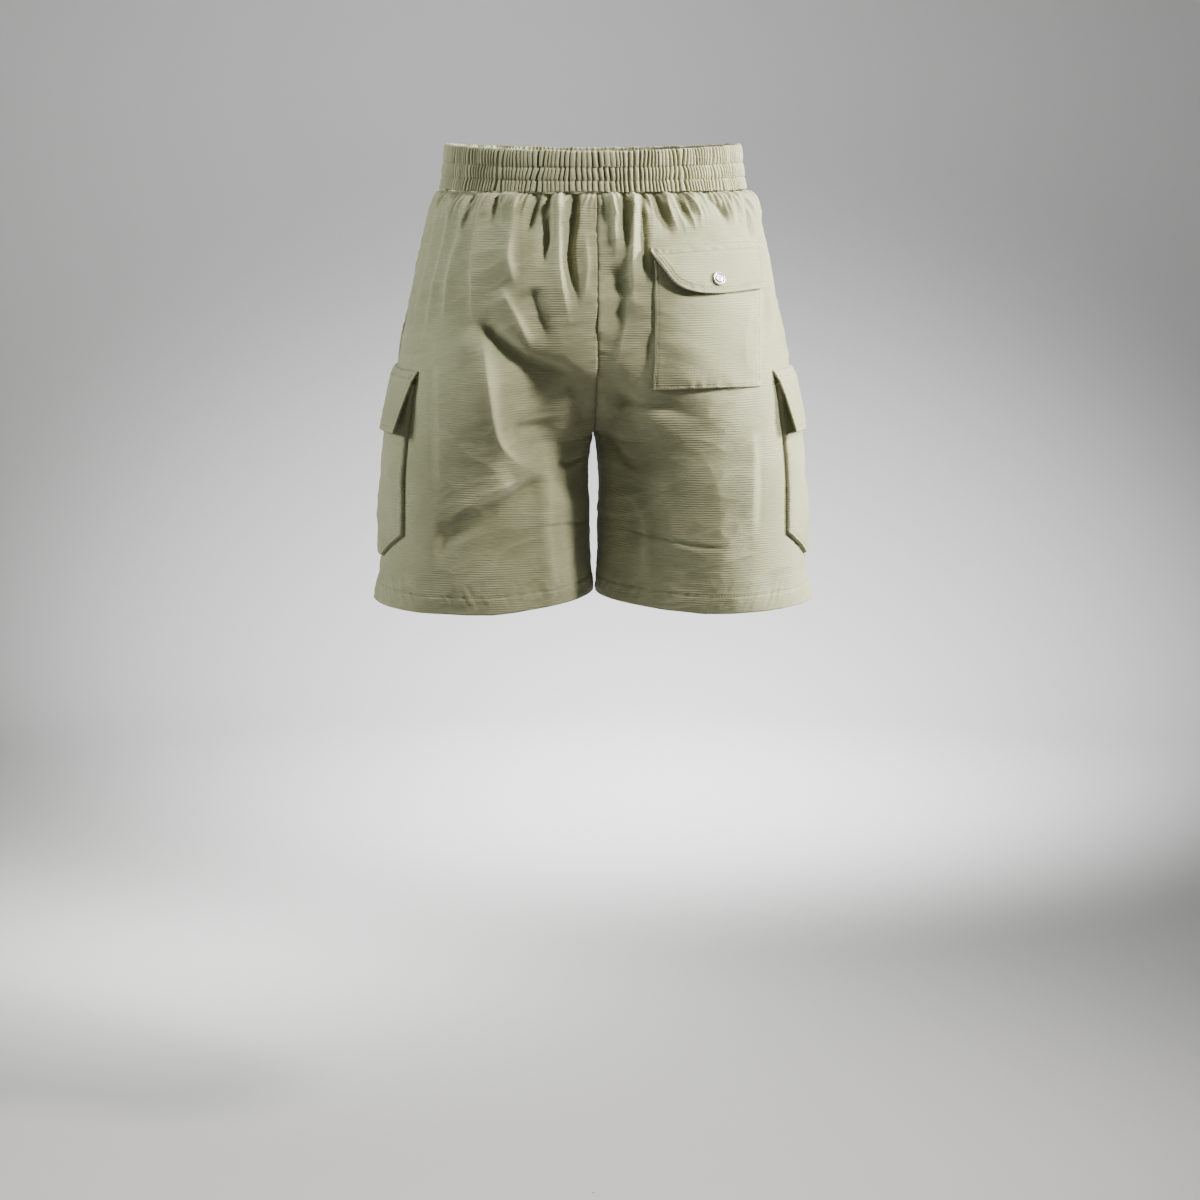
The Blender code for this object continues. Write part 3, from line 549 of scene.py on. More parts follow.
def relief(panel):
    """How far a panel's cloth stands out of its plain form."""
    x, z = panel.plain[:, :, 0], panel.plain[:, :, 2]
    signed = panel.side * x
    from_side, from_centre = panel.round, panel.whole - panel.round
    seed = FLUTE_SEED + 10 * (panel.side > 0) + 20 * (panel.facing > 0)
    folds = BACK_FOLDS if panel.facing > 0 else FRONT_FOLDS
    height = fold_field(signed, z, folds)
    height += fold_field(from_side, z, flutes(seed))

    # small pleats that the band's edge presses into the cloth
    under = np.exp(-((PANEL_TOP - z) / 0.014) ** 1.3)
    spread = from_side * (1 - 0.12 * (PANEL_TOP - z) / 0.05)
    pleat = np.abs(np.sin(math.pi * (spread / 0.0066 + 0.9 * noise(spread / 0.015, 0.5, seed))))
    pleat *= 0.75 + 0.45 * noise(spread / 0.011, (PANEL_TOP - z) / 0.02, seed + 8)
    height += under * (pleat**0.75 - 0.60) * 0.0036

    # loose unevenness of worn cloth, and fine slanting wrinkles
    height += 0.0011 * noise(from_side / 0.030, z / 0.046, WRINKLE_SEED + seed)
    slant = signed * 0.8 + z
    fine = noise(slant / 0.016, (signed - 0.6 * z) / 0.050, WRINKLE_SEED + seed + 1)
    height += 0.00045 * fine
    tilt = signed * 0.35
    height += 0.00045 * creases((z + tilt) / 0.022, (signed - 0.35 * z) / 0.050, WRINKLE_SEED + seed + 2)
    height += 0.00022 * creases((z + 0.5 * tilt) / 0.008, signed / 0.022, WRINKLE_SEED + seed + 3)
    height *= calm(panel)
    below_seam = PANEL_TOP - z
    height *= 0.45 + 0.55 * smooth_step(below_seam / 0.005)
    height += 0.0005 * smooth_step(below_seam / 0.006) * np.exp(-((below_seam / 0.018) ** 2))
    height -= 0.0014 * np.exp(-((below_seam / 0.0025) ** 2))

    # seams pull the cloth in and pucker it
    seams = ((from_centre, 0.0009, 0.0008, 0.010), (from_side, 0.0009, 0.0008, 0.009))
    for far, pull, ripple, breadth in seams:
        ripples = noise(z / 0.0048, far / 0.020, seed + 3) * (0.7 + 0.5 * noise(z / 0.03, 0.0, seed + 4))
        height += ripple * ripples * np.exp(-((far / breadth) ** 2))
        height -= pull * np.exp(-((far / 0.0013) ** 2))

    # the hem: two layers thick, dented along its stitches, puckered above and below them
    from_hem = z - HEM_Z
    hem = smooth_step((HEM_HEIGHT + 0.0012 - from_hem) / 0.0012)
    along = panel.round + 0.3
    height += 0.0007 * hem
    height -= 0.0011 * np.exp(-(((from_hem - HEM_HEIGHT + HEM_STITCH_DROP) / 0.0012) ** 2))
    near_hem = np.exp(-(((from_hem - HEM_HEIGHT + 0.003) / 0.013) ** 2))
    ripples = noise((along + 0.5 * from_hem) / 0.0040, from_hem / 0.014, seed + 5)
    ripples *= 0.7 + 0.5 * noise(along / 0.04, 0.3, seed + 6)
    height += 0.0008 * ripples * near_hem
    height += 0.0008 * noise(along / 0.034, 0.7, seed + 7) * smooth_step((0.030 - from_hem) / 0.030)
    return height


# ---------------------------------------------------------------- making meshes
def grid_faces(rows, columns, start=0, wrap=False):
    """Quads of a grid whose points lie row by row."""
    i, j = np.meshgrid(np.arange(rows - 1), np.arange(columns if wrap else columns - 1), indexing="ij")
    a = start + i * columns + j
    b = start + i * columns + (j + 1) % columns
    return np.stack([a, b, b + columns, a + columns], axis=-1).reshape(-1, 4)


def rim_of(rows, columns, start=0):
    """The border points of a grid, in order round it."""
    top = [start + c for c in range(columns)]
    right = [start + r * columns + columns - 1 for r in range(1, rows)]
    bottom = [start + (rows - 1) * columns + c for c in range(columns - 2, -1, -1)]
    left = [start + r * columns for r in range(rows - 2, 0, -1)]
    return top + right + bottom + left


def blurred(grid, radius):
    """The mean of a grid over a square of cells round each cell."""
    for axis in (0, 1):
        pad = [(0, 0), (0, 0)]
        pad[axis] = (radius + 1, radius)
        total = np.cumsum(np.pad(grid, pad, mode="edge"), axis=axis)
        size = grid.shape[axis]
        after = np.take(total, np.arange(size) + 2 * radius + 1, axis=axis)
        before = np.take(total, np.arange(size), axis=axis)
        grid = (after - before) / (2 * radius + 1)
    return grid


def wear_and_shade_of(height):
    """From -1 in hollows to 1 on crests: painted shade darkens the hollows, and the crests are paler,
    partly because rubbing and washing make the cloth paler and partly as a painted highlight.
    """
    return np.clip((height - blurred(height, 5)) / 0.0009, -1, 1)


def placed(name, data):
    """An object in the scene that shows a mesh, a light or a camera."""
    thing = bpy.data.objects.new(name, data)
    bpy.context.scene.collection.objects.link(thing)
    return thing


def piece_of(name, mesh):
    """A mesh as a piece of the shorts, which rides their one body."""
    thing = placed(name, mesh)
    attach(thing, "root")
    return thing


def smooth_mesh(name, points, faces):
    """A mesh with soft shading and no maps."""
    mesh = bpy.data.meshes.new(name)
    mesh.from_pydata(points, [], faces)
    mesh.shade_smooth()
    return mesh


def mesh_object(name, points, faces, uvs, wear_and_shade):
    """A mesh object with a map in metres for the weave and one that fills the square."""
    mesh = bpy.data.meshes.new(name)
    mesh.from_pydata(points.tolist(), [], faces)
    for map_name, values in uvs.items():
        layer = mesh.uv_layers.new(name=map_name)
        corner = np.zeros(len(mesh.loops), np.int32)
        mesh.loops.foreach_get("vertex_index", corner)
        layer.data.foreach_set("uv", values[corner].astype(np.float32).ravel())
    # colour shift for each point: painted shade in hollows and grooves, paler crests from rubbing and a
    # painted highlight
    worn_and_shaded = mesh.attributes.new("wear_and_shade", "FLOAT", "POINT")
    worn_and_shaded.data.foreach_set("value", wear_and_shade.astype(np.float32).ravel())
    mesh.validate()
    mesh.shade_smooth()
    return piece_of(name, mesh)


def two_faced(name, outer, inner, flip, cloth_uv, wear_and_shade):
    """A closed shell between a fine outer grid and an inner grid INNER_STEP times coarser."""
    rows, columns = outer.shape[:2]
    in_rows, in_columns = inner.shape[:2]
    count = rows * columns
    points = np.vstack([outer.reshape(-1, 3), inner.reshape(-1, 3)])
    outer_faces = grid_faces(rows, columns)
    inner_faces = grid_faces(in_rows, in_columns, count)[:, ::-1]
    if flip:
        outer_faces, inner_faces = outer_faces[:, ::-1], inner_faces[:, ::-1]
    faces = outer_faces.tolist() + inner_faces.tolist()
    outer_rim, inner_rim = rim_of(rows, columns), rim_of(in_rows, in_columns, count)
    step = len(outer_rim) // len(inner_rim)
    for index, corner in enumerate(inner_rim):
        after = inner_rim[(index + 1) % len(inner_rim)]
        edge = [outer_rim[(index * step + k) % len(outer_rim)] for k in range(step + 1)]
        strip = edge[::-1] + [corner, after]
        faces.append(strip[::-1] if flip else strip)
    v, u = np.meshgrid(np.linspace(1, 0, rows), np.linspace(0, 1, columns), indexing="ij")
    bake_outer = np.stack([u * 0.98 + 0.01, 0.27 + 0.72 * v], axis=-1).reshape(-1, 2)
    v, u = np.meshgrid(np.linspace(1, 0, in_rows), np.linspace(0, 1, in_columns), indexing="ij")
    bake_inner = np.stack([u * 0.98 + 0.01, 0.01 + 0.24 * v], axis=-1).reshape(-1, 2)
    cloth_inner = cloth_uv[:: rows // (in_rows - 1) or 1, :: columns // (in_columns - 1) or 1]
    cloth_inner = cloth_inner[:in_rows, :in_columns].reshape(-1, 2)
    uvs = {
        "cloth": np.vstack([cloth_uv.reshape(-1, 2), cloth_inner]),
        "OFBake": np.vstack([bake_outer, bake_inner]),
    }
    worn_and_shaded = np.append(wear_and_shade.ravel(), np.zeros(in_rows * in_columns))
    return mesh_object(name, points, faces, uvs, worn_and_shaded)


def build_panel(panel, name):
    """The visible cloth of one panel."""
    hem = smooth_step((HEM_Z + HEM_HEIGHT - panel.plain[:, :, 2]) / 0.001)
    inner = panel.moved(panel.height - CLOTH * (1 + hem))[::INNER_STEP, ::INNER_STEP]
    cloth_uv = np.stack([panel.side * panel.round, panel.plain[:, :, 2] + panel.drop], axis=-1)
    flip = panel.side * panel.facing > 0
    thing = two_faced(name + "_cloth", panel.outer, inner, flip, cloth_uv, wear_and_shade_of(panel.height))
    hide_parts(name)
    return thing


# ---------------------------------------------------------------- the waistband
def band_ring(z):
    """Half width and half depth of the band at a height."""
    rings = np.array(BAND_RINGS)
    return np.interp(z, rings[:, 0], rings[:, 1]), np.interp(z, rings[:, 0], rings[:, 2])


def band_pleats(turn_share, z):
    """The pleats' height from 0 in a groove to 1: they kink and change at each stitch row."""
    period_count = 212
    upper, lower = BAND_STITCH_ROWS
    base = period_count * turn_share + 0.75 * noise(turn_share * 64, 0.0, 101)
    base = base + 0.35 * noise(turn_share * 128, 0.5, 106, 128)
    zones = (
        smooth_step((z - upper) / 0.003 + 0.5),
        smooth_step((upper - z) / 0.003 + 0.5) * smooth_step((z - lower) / 0.003 + 0.5),
        smooth_step((lower - z) / 0.003 + 0.5),
    )
    middles = ((BAND_TOP + upper) / 2, (upper + lower) / 2, (lower + BAND_BOTTOM) / 2)
    height = np.zeros_like(z + turn_share)
    for index, (weight, middle) in enumerate(zip(zones, middles)):
        shift = 0.10 * noise(turn_share * 128, index * 3.3, 102, 128)
        slant = 0.50 * noise(turn_share * 64, index * 5.1, 103) * (z - middle) / 0.012
        phase = base + shift + slant
        phase = phase + 0.10 * np.sin(2 * math.pi * phase)
        ridge = np.abs(np.sin(math.pi * phase)) ** 0.75
        depth = 0.80 + 0.60 * noise(turn_share * 128, index * 7.7, 104, 128)
        height += weight * (1 - depth * (1 - ridge))
    return height


def build_waistband():
    """The pleated band: outer face, rounded top, inner face and bottom edge as one tube."""
    wall, top_round = 0.0036, 0.0012
    turn = np.linspace(0, 2 * math.pi, BAND_COLUMNS, endpoint=False)
    share = turn / (2 * math.pi)
    outer_z = np.linspace(BAND_BOTTOM + 0.0004, BAND_TOP - top_round, BAND_ROWS)
    rows = [(z, 0.0, 1.0) for z in outer_z]
    for angle in (25, 50, 75, 100, 130, 160):
        a = math.radians(angle)
        z = BAND_TOP - top_round + top_round * math.sin(a)
        rows.append((z, -wall / 2 * (1 - math.cos(a)), 1 - 0.3 * angle / 180))
    for z in np.linspace(BAND_TOP - 0.0016, BAND_BOTTOM + 0.0006, 6):
        rows.append((z, -wall, 0.28))
    rows.append((BAND_BOTTOM + 0.0001, -wall * 0.7, 0.5))
    rows.append((BAND_BOTTOM + 0.0001, -wall * 0.3, 0.8))
    upper, lower = BAND_STITCH_ROWS
    points, wear_and_shade = [], []
    for z, out, strength in rows:
        half_width, half_depth = band_ring(z)
        height = band_pleats(share, np.full_like(share, z))
        pinch = sum(np.exp(-(((z - row) / 0.0010) ** 2)) for row in (upper, lower))
        low_edge = math.exp(-(((z - BAND_BOTTOM) / 0.0022) ** 2))
        top_edge = math.exp(-(((z - BAND_TOP) / 0.0018) ** 2))
        held = (1 - 0.30 * pinch) * (1 - 0.35 * low_edge) * (1 - 0.3 * top_edge)
        swing = (height - 0.74) * 0.0050 * held
        stage = np.interp(z, (BAND_BOTTOM, lower, upper, BAND_TOP), (0.5, 1, 2, 3))
        puff = 0.0008 * abs(math.sin(math.pi * stage)) - 0.0004 * pinch + 0.0004 * low_edge
        move = out + strength * (swing + (puff if out == 0.0 else 0.0))
        along_x = np.sign(np.cos(turn)) * np.abs(np.cos(turn)) ** (2 / BAND_POWER)
        along_y = np.sign(np.sin(turn)) * np.abs(np.sin(turn)) ** (2 / BAND_POWER)
        wave = 0.0006 * noise(share * 128, z / 0.02, 105, 128) * (low_edge + top_edge)
        wave -= BAND_DIP * np.sin(turn) ** 2 * max(z - BAND_BOTTOM, 0) / (BAND_TOP - BAND_BOTTOM)
        points.append(
            np.stack([(half_width + move) * along_x, (half_depth + move) * along_y, z + wave], axis=-1)
        )
        # painted shade deep in the pleats' grooves, and a paler tone on their crests, partly rub wear and
        # partly painted highlight
        wear_and_shade.append(np.clip((height - 0.72) * 8.0 * strength, -4.4, 1.6))
    points = np.array(points)
    count = len(points)
    faces = grid_faces(count, BAND_COLUMNS, wrap=True)
    last = (count - 1) * BAND_COLUMNS
    j = np.arange(BAND_COLUMNS)
    after = (j + 1) % BAND_COLUMNS
    closing = np.stack([last + j, last + after, after, j], axis=-1)
    faces = np.vstack([faces, closing])
    return points, faces, np.array(wear_and_shade)


def finish_waistband():
    """The waistband's mesh, and the rows of points on its face where the stitching runs."""
    points, faces, wear_and_shade = build_waistband()
    count = len(points)
    girth, fullness, round_section = 0.82, 1.4, 0.11
    lengths = np.linspace(0, round_section, count)
    u = np.broadcast_to(np.linspace(0, 1, BAND_COLUMNS)[None, :], (count, BAND_COLUMNS))
    v = np.broadcast_to(lengths[:, None], (count, BAND_COLUMNS))
    cloth = np.stack([u * girth * fullness, v], axis=-1).reshape(-1, 2)
    bake = np.stack([u, 0.01 + 0.98 * v / round_section], axis=-1).reshape(-1, 2)
    uvs = {"cloth": cloth, "OFBake": bake}
    thing = mesh_object("waistband_cloth", points.reshape(-1, 3), faces.tolist(), uvs, wear_and_shade)
    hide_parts("waistband")
    levels = points[:BAND_ROWS, :, 2].mean(axis=1)
    rows = [points[int(np.argmin(np.abs(levels - row)))] for row in BAND_STITCH_ROWS]
    return thing, rows


# ---------------------------------------------------------------- stitching and the snap
def outward(points, normals, side):
    """Normals turned to point away from the wearer."""
    axis = np.zeros_like(points)
    axis[:, 0] = side * 0.11 * smooth_step((-0.20 - points[:, 2]) / 0.06)
    axis[:, 2] = points[:, 2]
    facing = np.sum(normals * (points - axis), axis=1, keepdims=True)
    return normals * np.sign(facing)


def stitch_line(grid, row, column, side):
    """Points and outward normals along a line of fractional rows and columns of a grid."""
    row, column = np.broadcast_arrays(np.asarray(row, float), np.asarray(column, float))
    points = sample(grid, row, column)
    normals = sample(normals_of(grid), row, column)
    normals /= np.linalg.norm(normals, axis=1, keepdims=True)
    return points, outward(points, normals, side)


def stitch_meshes(lines, pitch=0.0030, length=0.0021, radius=0.00030):
    """Every stitch of a list of lines: a small thread that dives into the cloth at both ends."""
    draw = np.random.default_rng(5)
    sides = 5
    stations = np.array([-0.5, -0.3, 0.3, 0.5])
    sinks = np.array([-0.0004, 0.00010, 0.00010, -0.0004])
    widths = np.array([0.35, 1.0, 1.0, 0.35])
    turn = np.arange(sides) * 2 * math.pi / sides
    points, faces = [], []
    base = grid_faces(len(stations), sides, wrap=True)
    for line, normals in lines:
        steps = np.linalg.norm(np.diff(line, axis=0), axis=1)
        along = np.append(0.0, np.cumsum(steps))
        for centre in np.arange(pitch, along[-1] - pitch / 2, pitch):
            middle = [np.interp(centre, along, line[:, k]) for k in range(3)]
            ahead = [np.interp(centre + length / 2, along, line[:, k]) for k in range(3)]
            behind = [np.interp(centre - length / 2, along, line[:, k]) for k in range(3)]
            way = np.array(ahead) - np.array(behind)
            up = np.array([np.interp(centre, along, normals[:, k]) for k in range(3)])
            way /= max(np.linalg.norm(way), 1e-9)
            up -= way * (up @ way)
            up /= max(np.linalg.norm(up), 1e-9)
            across = np.cross(way, up)
            way = way + across * draw.uniform(-0.12, 0.12)
            thick = radius * draw.uniform(0.85, 1.15)
            rings = (
                np.array(middle)
                + stations[:, None, None] * length * way
                + sinks[:, None, None] * up
                + widths[:, None, None] * thick * np.cos(turn)[None, :, None] * across
                + widths[:, None, None] * thick * np.sin(turn)[None, :, None] * up
            )
            start = len(points) * sides * len(stations)
            points.append(rings.reshape(-1, 3))
            faces += (base + start).tolist()
            faces.append([start + k for k in range(sides)][::-1])
            faces.append([start + 3 * sides + k for k in range(sides)])
    return np.vstack(points), faces


def band_stitch_lines(rows):
    """The two rows of stitching round the band."""
    lines = []
    for row in rows:
        closed = np.vstack([row, row[:2]])
        out = closed * (1, 1, 0)
        out /= np.linalg.norm(out, axis=1, keepdims=True)
        lines.append((closed + out * 0.0002, out))
    return lines


def patch_stitch_lines(grid, side, inset_columns, inset_rows, top_rows=()):
    """Stitching along the sides and the lower edge of a pocket or flap, and along its top."""
    last_row, last_column = grid.shape[0] - 1, grid.shape[1] - 1
    down = np.linspace(2, last_row - inset_rows, 120)
    over = np.linspace(inset_columns, last_column - inset_columns, 160)
    lines = [
        stitch_line(grid, down, inset_columns, side),
        stitch_line(grid, down, last_column - inset_columns, side),
        stitch_line(grid, last_row - inset_rows, over, side),
    ]
    lines += [stitch_line(grid, row, over, side) for row in top_rows]
    return lines


def back_flap_stitch_lines(grid):
    """Two rows along the flap's top and one that follows its free edge."""
    last_row, last_column = grid.shape[0] - 1, grid.shape[1] - 1
    over = np.linspace(2, last_column - 4, 200)
    free_edge = sample(grid, np.full(200, last_row), over)
    drop = np.linalg.norm(free_edge - sample(grid, np.zeros(200), over), axis=1)
    lines = [stitch_line(grid, np.minimum(0.0012 / drop, 0.3) * last_row, over, -1)]
    wide = drop > 0.012
    lines.append(stitch_line(grid, (0.0078 / drop[wide]) * last_row, over[wide], -1))
    slope = np.gradient(free_edge[:, 2], -free_edge[:, 0])
    inset = 0.0055 * np.sqrt(1 + slope**2)
    wide = drop > inset + 0.009
    lines.append(stitch_line(grid, (1 - inset[wide] / drop[wide]) * last_row, over[wide], -1))
    down = np.linspace(0.17 * last_row, last_row - 8, 60)
    lines.append(stitch_line(grid, down, last_column - 6.0, -1))
    return lines


def build_stitching(lines):
    """All the stitching as one joined mesh."""
    points, faces = stitch_meshes(lines)
    thing = piece_of("stitching", smooth_mesh("stitching", points.tolist(), faces))
    thing.data.materials.append(plain_material("thread", (0.26, 0.25, 0.14, 1.0), 0.7))


def build_snap(flap_grid):
    """The snap's cap: a rolled rim, a sunk ring and a domed middle with a small point."""
    spot = np.array([-SNAP_DISTANCE, 0.0, SNAP_Z])
    away = np.hypot(flap_grid[:, :, 0] - spot[0], flap_grid[:, :, 2] - spot[2])
    row, column = np.unravel_index(np.argmin(away), away.shape)
    up = normals_of(flap_grid)[row, column]
    up = up * np.sign(up[1])
    centre = flap_grid[row, column]
    across = np.cross(up, (0, 0, 1.0))
    across /= np.linalg.norm(across)
    over = np.cross(across, up)
    profile = curve_through(SNAP_OUTLINE, 60)
    profile[:, 0] = np.maximum(profile[:, 0], 0)
    segments = 72
    turn = np.arange(segments) * 2 * math.pi / segments
    rings = (
        centre
        + profile[1:-1, 0, None, None] * np.cos(turn)[None, :, None] * across
        + profile[1:-1, 0, None, None] * np.sin(turn)[None, :, None] * over
        + profile[1:-1, 1, None, None] * up
    )
    points = rings.reshape(-1, 3)
    faces = grid_faces(len(rings), segments, wrap=True).tolist()
    low, high = len(points), len(points) + 1
    points = np.vstack([points, centre + profile[0, 1] * up, centre + profile[-1, 1] * up])
    last = (len(rings) - 1) * segments
    for k in range(segments):
        after = (k + 1) % segments
        faces.append([low, after, k])
        faces.append([high, last + k, last + after])
    thing = piece_of("snap_metal", smooth_mesh("snap", points.tolist(), faces))
    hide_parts("snap_cap")
    thing.data.materials.append(snap_material())


# ---------------------------------------------------------------- pockets and flaps
def edge_profile(distance, thick):
    """How far an outer face is out near a turned edge: round at the edge, dented at the stitch."""
    rise = np.sqrt(np.clip(1 - (1 - np.clip(distance / 0.0012, 0, 1)) ** 2, 0, 1))
    return thick * rise - 0.0004 * np.exp(-(((distance - 0.0030) / 0.0010) ** 2))


def share_grid(rows, columns, across_from=0):
    """Shares down from 0 to 1 and across up to 1, as two grids."""
    down, across = np.linspace(0, 1, rows + 1), np.linspace(across_from, 1, columns + 1)
    return np.meshgrid(down, across, indexing="ij")


def patch_object(node, outer, inner, out, uv, flip):
    """The visible cloth of one pocket or flap."""
    thing = two_faced(node + "_cloth", outer, inner[::INNER_STEP, ::INNER_STEP], flip, uv, wear_and_shade_of(out))
    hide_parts(node)
    return thing


def back_pocket_grid(panel, rows=150, columns=129):
    """The back pocket's outer and inner points, how far it is out, and its map."""
    down, across = share_grid(rows, columns)
    z = POCKET_TOP + down * (POCKET_BOTTOM - POCKET_TOP)
    z = z + 0.0010 * np.sin(math.pi * across) * down
    x = POCKET_NEAR + across * (POCKET_FAR - POCKET_NEAR) + 0.0008 * noise(z / 0.02, 0, 301) * (1 - across)
    width, height = 0.118, POCKET_TOP - POCKET_BOTTOM
    to_edge = np.minimum(np.minimum(across, 1 - across) * width, (1 - down) * height)
    out = 0.0009 + edge_profile(to_edge, 0.0019)
    belly = np.sqrt(np.clip(np.sin(math.pi * across) * np.sin(math.pi * np.clip(down, 0.02, 1)), 0, 1))
    out += 0.0028 * belly
    edge_ripple = noise(z / 0.0050, across * 6, 302) * np.exp(-((across * width / 0.016) ** 2))
    edge_ripple += noise(z / 0.0055, across * 6, 303) * np.exp(-(((1 - across) * width / 0.010) ** 2))
    edge_ripple += noise(x / 0.0050, down * 6, 304) * np.exp(-(((1 - down) * height / 0.010) ** 2))
    out += 0.0006 * edge_ripple * smooth_step(to_edge / 0.003)
    out += 0.0007 * noise(z / 0.016 + x / 0.05, x / 0.030, 305) * smooth_step(to_edge / 0.012)
    out += fold_field(x, z, BACK_POCKET_FOLDS)
    row, column = panel.row_at(z), panel.column_at_x(x, z)
    outer = panel.place(row, column, out)
    inner = panel.place(row, column, np.minimum(out - 0.0009, 0.0004 + 0.5 * out))
    return outer, inner, out, np.stack([x, z], axis=-1)


def flap_out(down_length, rise_to, lift):
    """How far a flap's outer face is out: it climbs over the pocket's edge and lifts below."""
    climb = smooth_step(down_length / 0.012)
    return 0.0010 + 0.0016 * np.clip(down_length / 0.0012, 0, 1) + climb * rise_to + lift


def back_flap_grid(panel, rows=72, columns=150):
    """The back flap's outer and inner points, how far it is out, and its map."""
    down, across = share_grid(rows, columns)
    table = np.array(BACK_FLAP)
    curve = np.linspace(0, 1, 400)
    fine = curve_through(table, 400)
    # more columns where the lower edge is steep
    steps = np.hypot(np.diff(fine[:, 0]), 0.7 * np.diff(fine[:, 2]))
    length = np.append(0, np.cumsum(steps))
    at = np.interp(across * length[-1], length, curve)
    x = np.interp(at, curve, fine[:, 0])
    upper = np.interp(at, curve, fine[:, 1])
    lower = np.interp(at, curve, fine[:, 2])
    z = upper + down * (lower - upper)
    drop = upper - lower
    down_length = down * drop
    # distance to the free edge, from the sides and the sloping lower edge
    slope = np.gradient(fine[:, 2], fine[:, 0])
    steep = np.interp(at, curve, np.sqrt(1 + slope**2))
    to_lower = (z - lower) / steep
    lift = 0.0028 + 0.0030 * np.exp(-(((across - 0.30) / 0.24) ** 2))
    lift *= smooth_step(down * 1.1) * (0.35 + 0.65 * smooth_step(across / 0.14))
    out = flap_out(down_length, 0.0036, lift)
    out += edge_profile(np.minimum(to_lower, table[-1, 0] - x), 0.0006) - 0.0006
    for line in BACK_FLAP_STITCH_ROWS:
        out -= 0.0006 * np.exp(-(((down_length - line) / 0.0009) ** 2)) * smooth_step(drop / 0.02)
    between = np.exp(-(((down_length - 0.0043) / 0.0032) ** 2))
    out += 0.0006 * noise(x / 0.0034, down_length / 0.006, 311) * between
    out -= 0.0005 * np.exp(-(((to_lower - 0.0055) / 0.0009) ** 2))
    out += 0.0003 * noise(x / 0.0050, z / 0.006, 312) * np.exp(-(((to_lower - 0.004) / 0.004) ** 2))
    out += 0.0010 * noise(x / 0.035, z / 0.03, 313) * down
    row, column = panel.row_at(z), panel.column_at_x(x, z)
    outer = panel.place(row, column, out)
    inner = panel.place(row, column, out - 0.0016)
    return outer, inner, out, np.stack([x, z], axis=-1)


def place_round(back, front, around, z, out):
    """Points round a leg at distances from its side seam, to the back where positive."""
    behind = back.place(back.row_at(z), back.column_round(np.abs(around), z), out)
    before = front.place(front.row_at(z), front.column_round(np.abs(around), z), out)
    return np.where((around >= 0)[..., None], behind, before)


def cargo_half(down):
    """Half the breadth of a cargo pocket at a share of its height, with its corners cut off."""
    height = CARGO_TOP - CARGO_BOTTOM
    straight = CARGO_HALF_TOP + down * (CARGO_HALF_LOW - CARGO_HALF_TOP)
    clip_from = 1 - CARGO_CLIP_RISE / height
    return straight - CARGO_CLIP_IN * np.maximum(down - clip_from, 0.0) / (1 - clip_from)


def cargo_pocket_grid(back, front, seed, rows=150, columns=141):
    """A cargo pocket's outer and inner points, how far it is out, and its map."""
    down, across = share_grid(rows, columns, -1)
    height = CARGO_TOP - CARGO_BOTTOM
    z = CARGO_TOP - down * height
    half = cargo_half(down)
    around = across * half
    lean = CARGO_CLIP_RISE / math.hypot(CARGO_CLIP_RISE, CARGO_CLIP_IN)
    clip_from = 1 - CARGO_CLIP_RISE / height
    to_side = (half - np.abs(around)) * np.where(down > clip_from, lean, 1.0)
    to_edge = np.minimum(to_side, (1 - down) * height)
    belly = np.sqrt(np.clip(np.cos(math.pi / 2 * across) * np.sin(math.pi * np.clip(down, 0.03, 1)), 0, 1))
    out = 0.0009 + edge_profile(to_edge, 0.0030) + 0.0032 * belly
    ripple = noise(z / 0.0060, around / 0.02, seed) * np.exp(-((to_side / 0.012) ** 2))
    ripple += noise(around / 0.0060, z / 0.02, seed + 1) * np.exp(-(((1 - down) * height / 0.010) ** 2))
    out += 0.0006 * ripple * smooth_step(to_edge / 0.003)
    out += 0.0012 * noise(around / 0.045, z / 0.040, seed + 2) * smooth_step(to_edge / 0.02)
    out += fold_field(around, z, CARGO_POCKET_FOLDS)
    outer = place_round(back, front, around, z, out)
    inner = place_round(back, front, around, z, np.minimum(out - 0.0010, 0.0004 + 0.4 * out))
    return outer, inner, out, np.stack([around, z], axis=-1)


def cargo_flap_grid(back, front, seed, corner_lift, rows=81, columns=150):
    """A cargo flap's outer and inner points, how far it is out, and its map."""
    down, across = share_grid(rows, columns, -1)
    drop = CARGO_FLAP_TOP - CARGO_FLAP_BOTTOM
    half = CARGO_FLAP_HALF_TOP + down * (CARGO_FLAP_HALF_LOW - CARGO_FLAP_HALF_TOP)
    around = across * half
    z = CARGO_FLAP_TOP - down * drop - 0.0015 * np.cos(math.pi * across) * down
    down_length = down * drop
    to_edge = np.minimum(half - np.abs(around), (1 - down) * drop)
    lift = 0.0050 * smooth_step(down) + corner_lift * smooth_step(down) * np.clip(across, 0, 1) ** 3
    lift += 0.0040 * smooth_step(down) * np.clip(-across, 0, 1) ** 3
    out = flap_out(down_length, 0.0032, lift)
    out += edge_profile(to_edge, 0.0007) - 0.0007
    for line in CARGO_FLAP_STITCH_ROWS:
        out -= 0.0006 * np.exp(-(((down_length - line) / 0.0009) ** 2))
    out -= 0.0005 * np.exp(-(((to_edge - 0.0055) / 0.0009) ** 2)) * smooth_step(down_length / 0.01)
    between = np.exp(-(((down_length - 0.0043) / 0.0032) ** 2))
    out += 0.0006 * noise(around / 0.0036, down_length / 0.006, seed) * between
    out += 0.0014 * noise(around / 0.040, z / 0.03, seed + 1) * down
    outer = place_round(back, front, around, z, out)
    inner = place_round(back, front, around, z, out - 0.0018)
    return outer, inner, out, np.stack([around, z], axis=-1)


# ---------------------------------------------------------------- materials
def set_inputs(node, values):
    """Constant numbers and colours set on a node's sockets by name."""
    for name, value in values.items():
        node.inputs[name].default_value = value


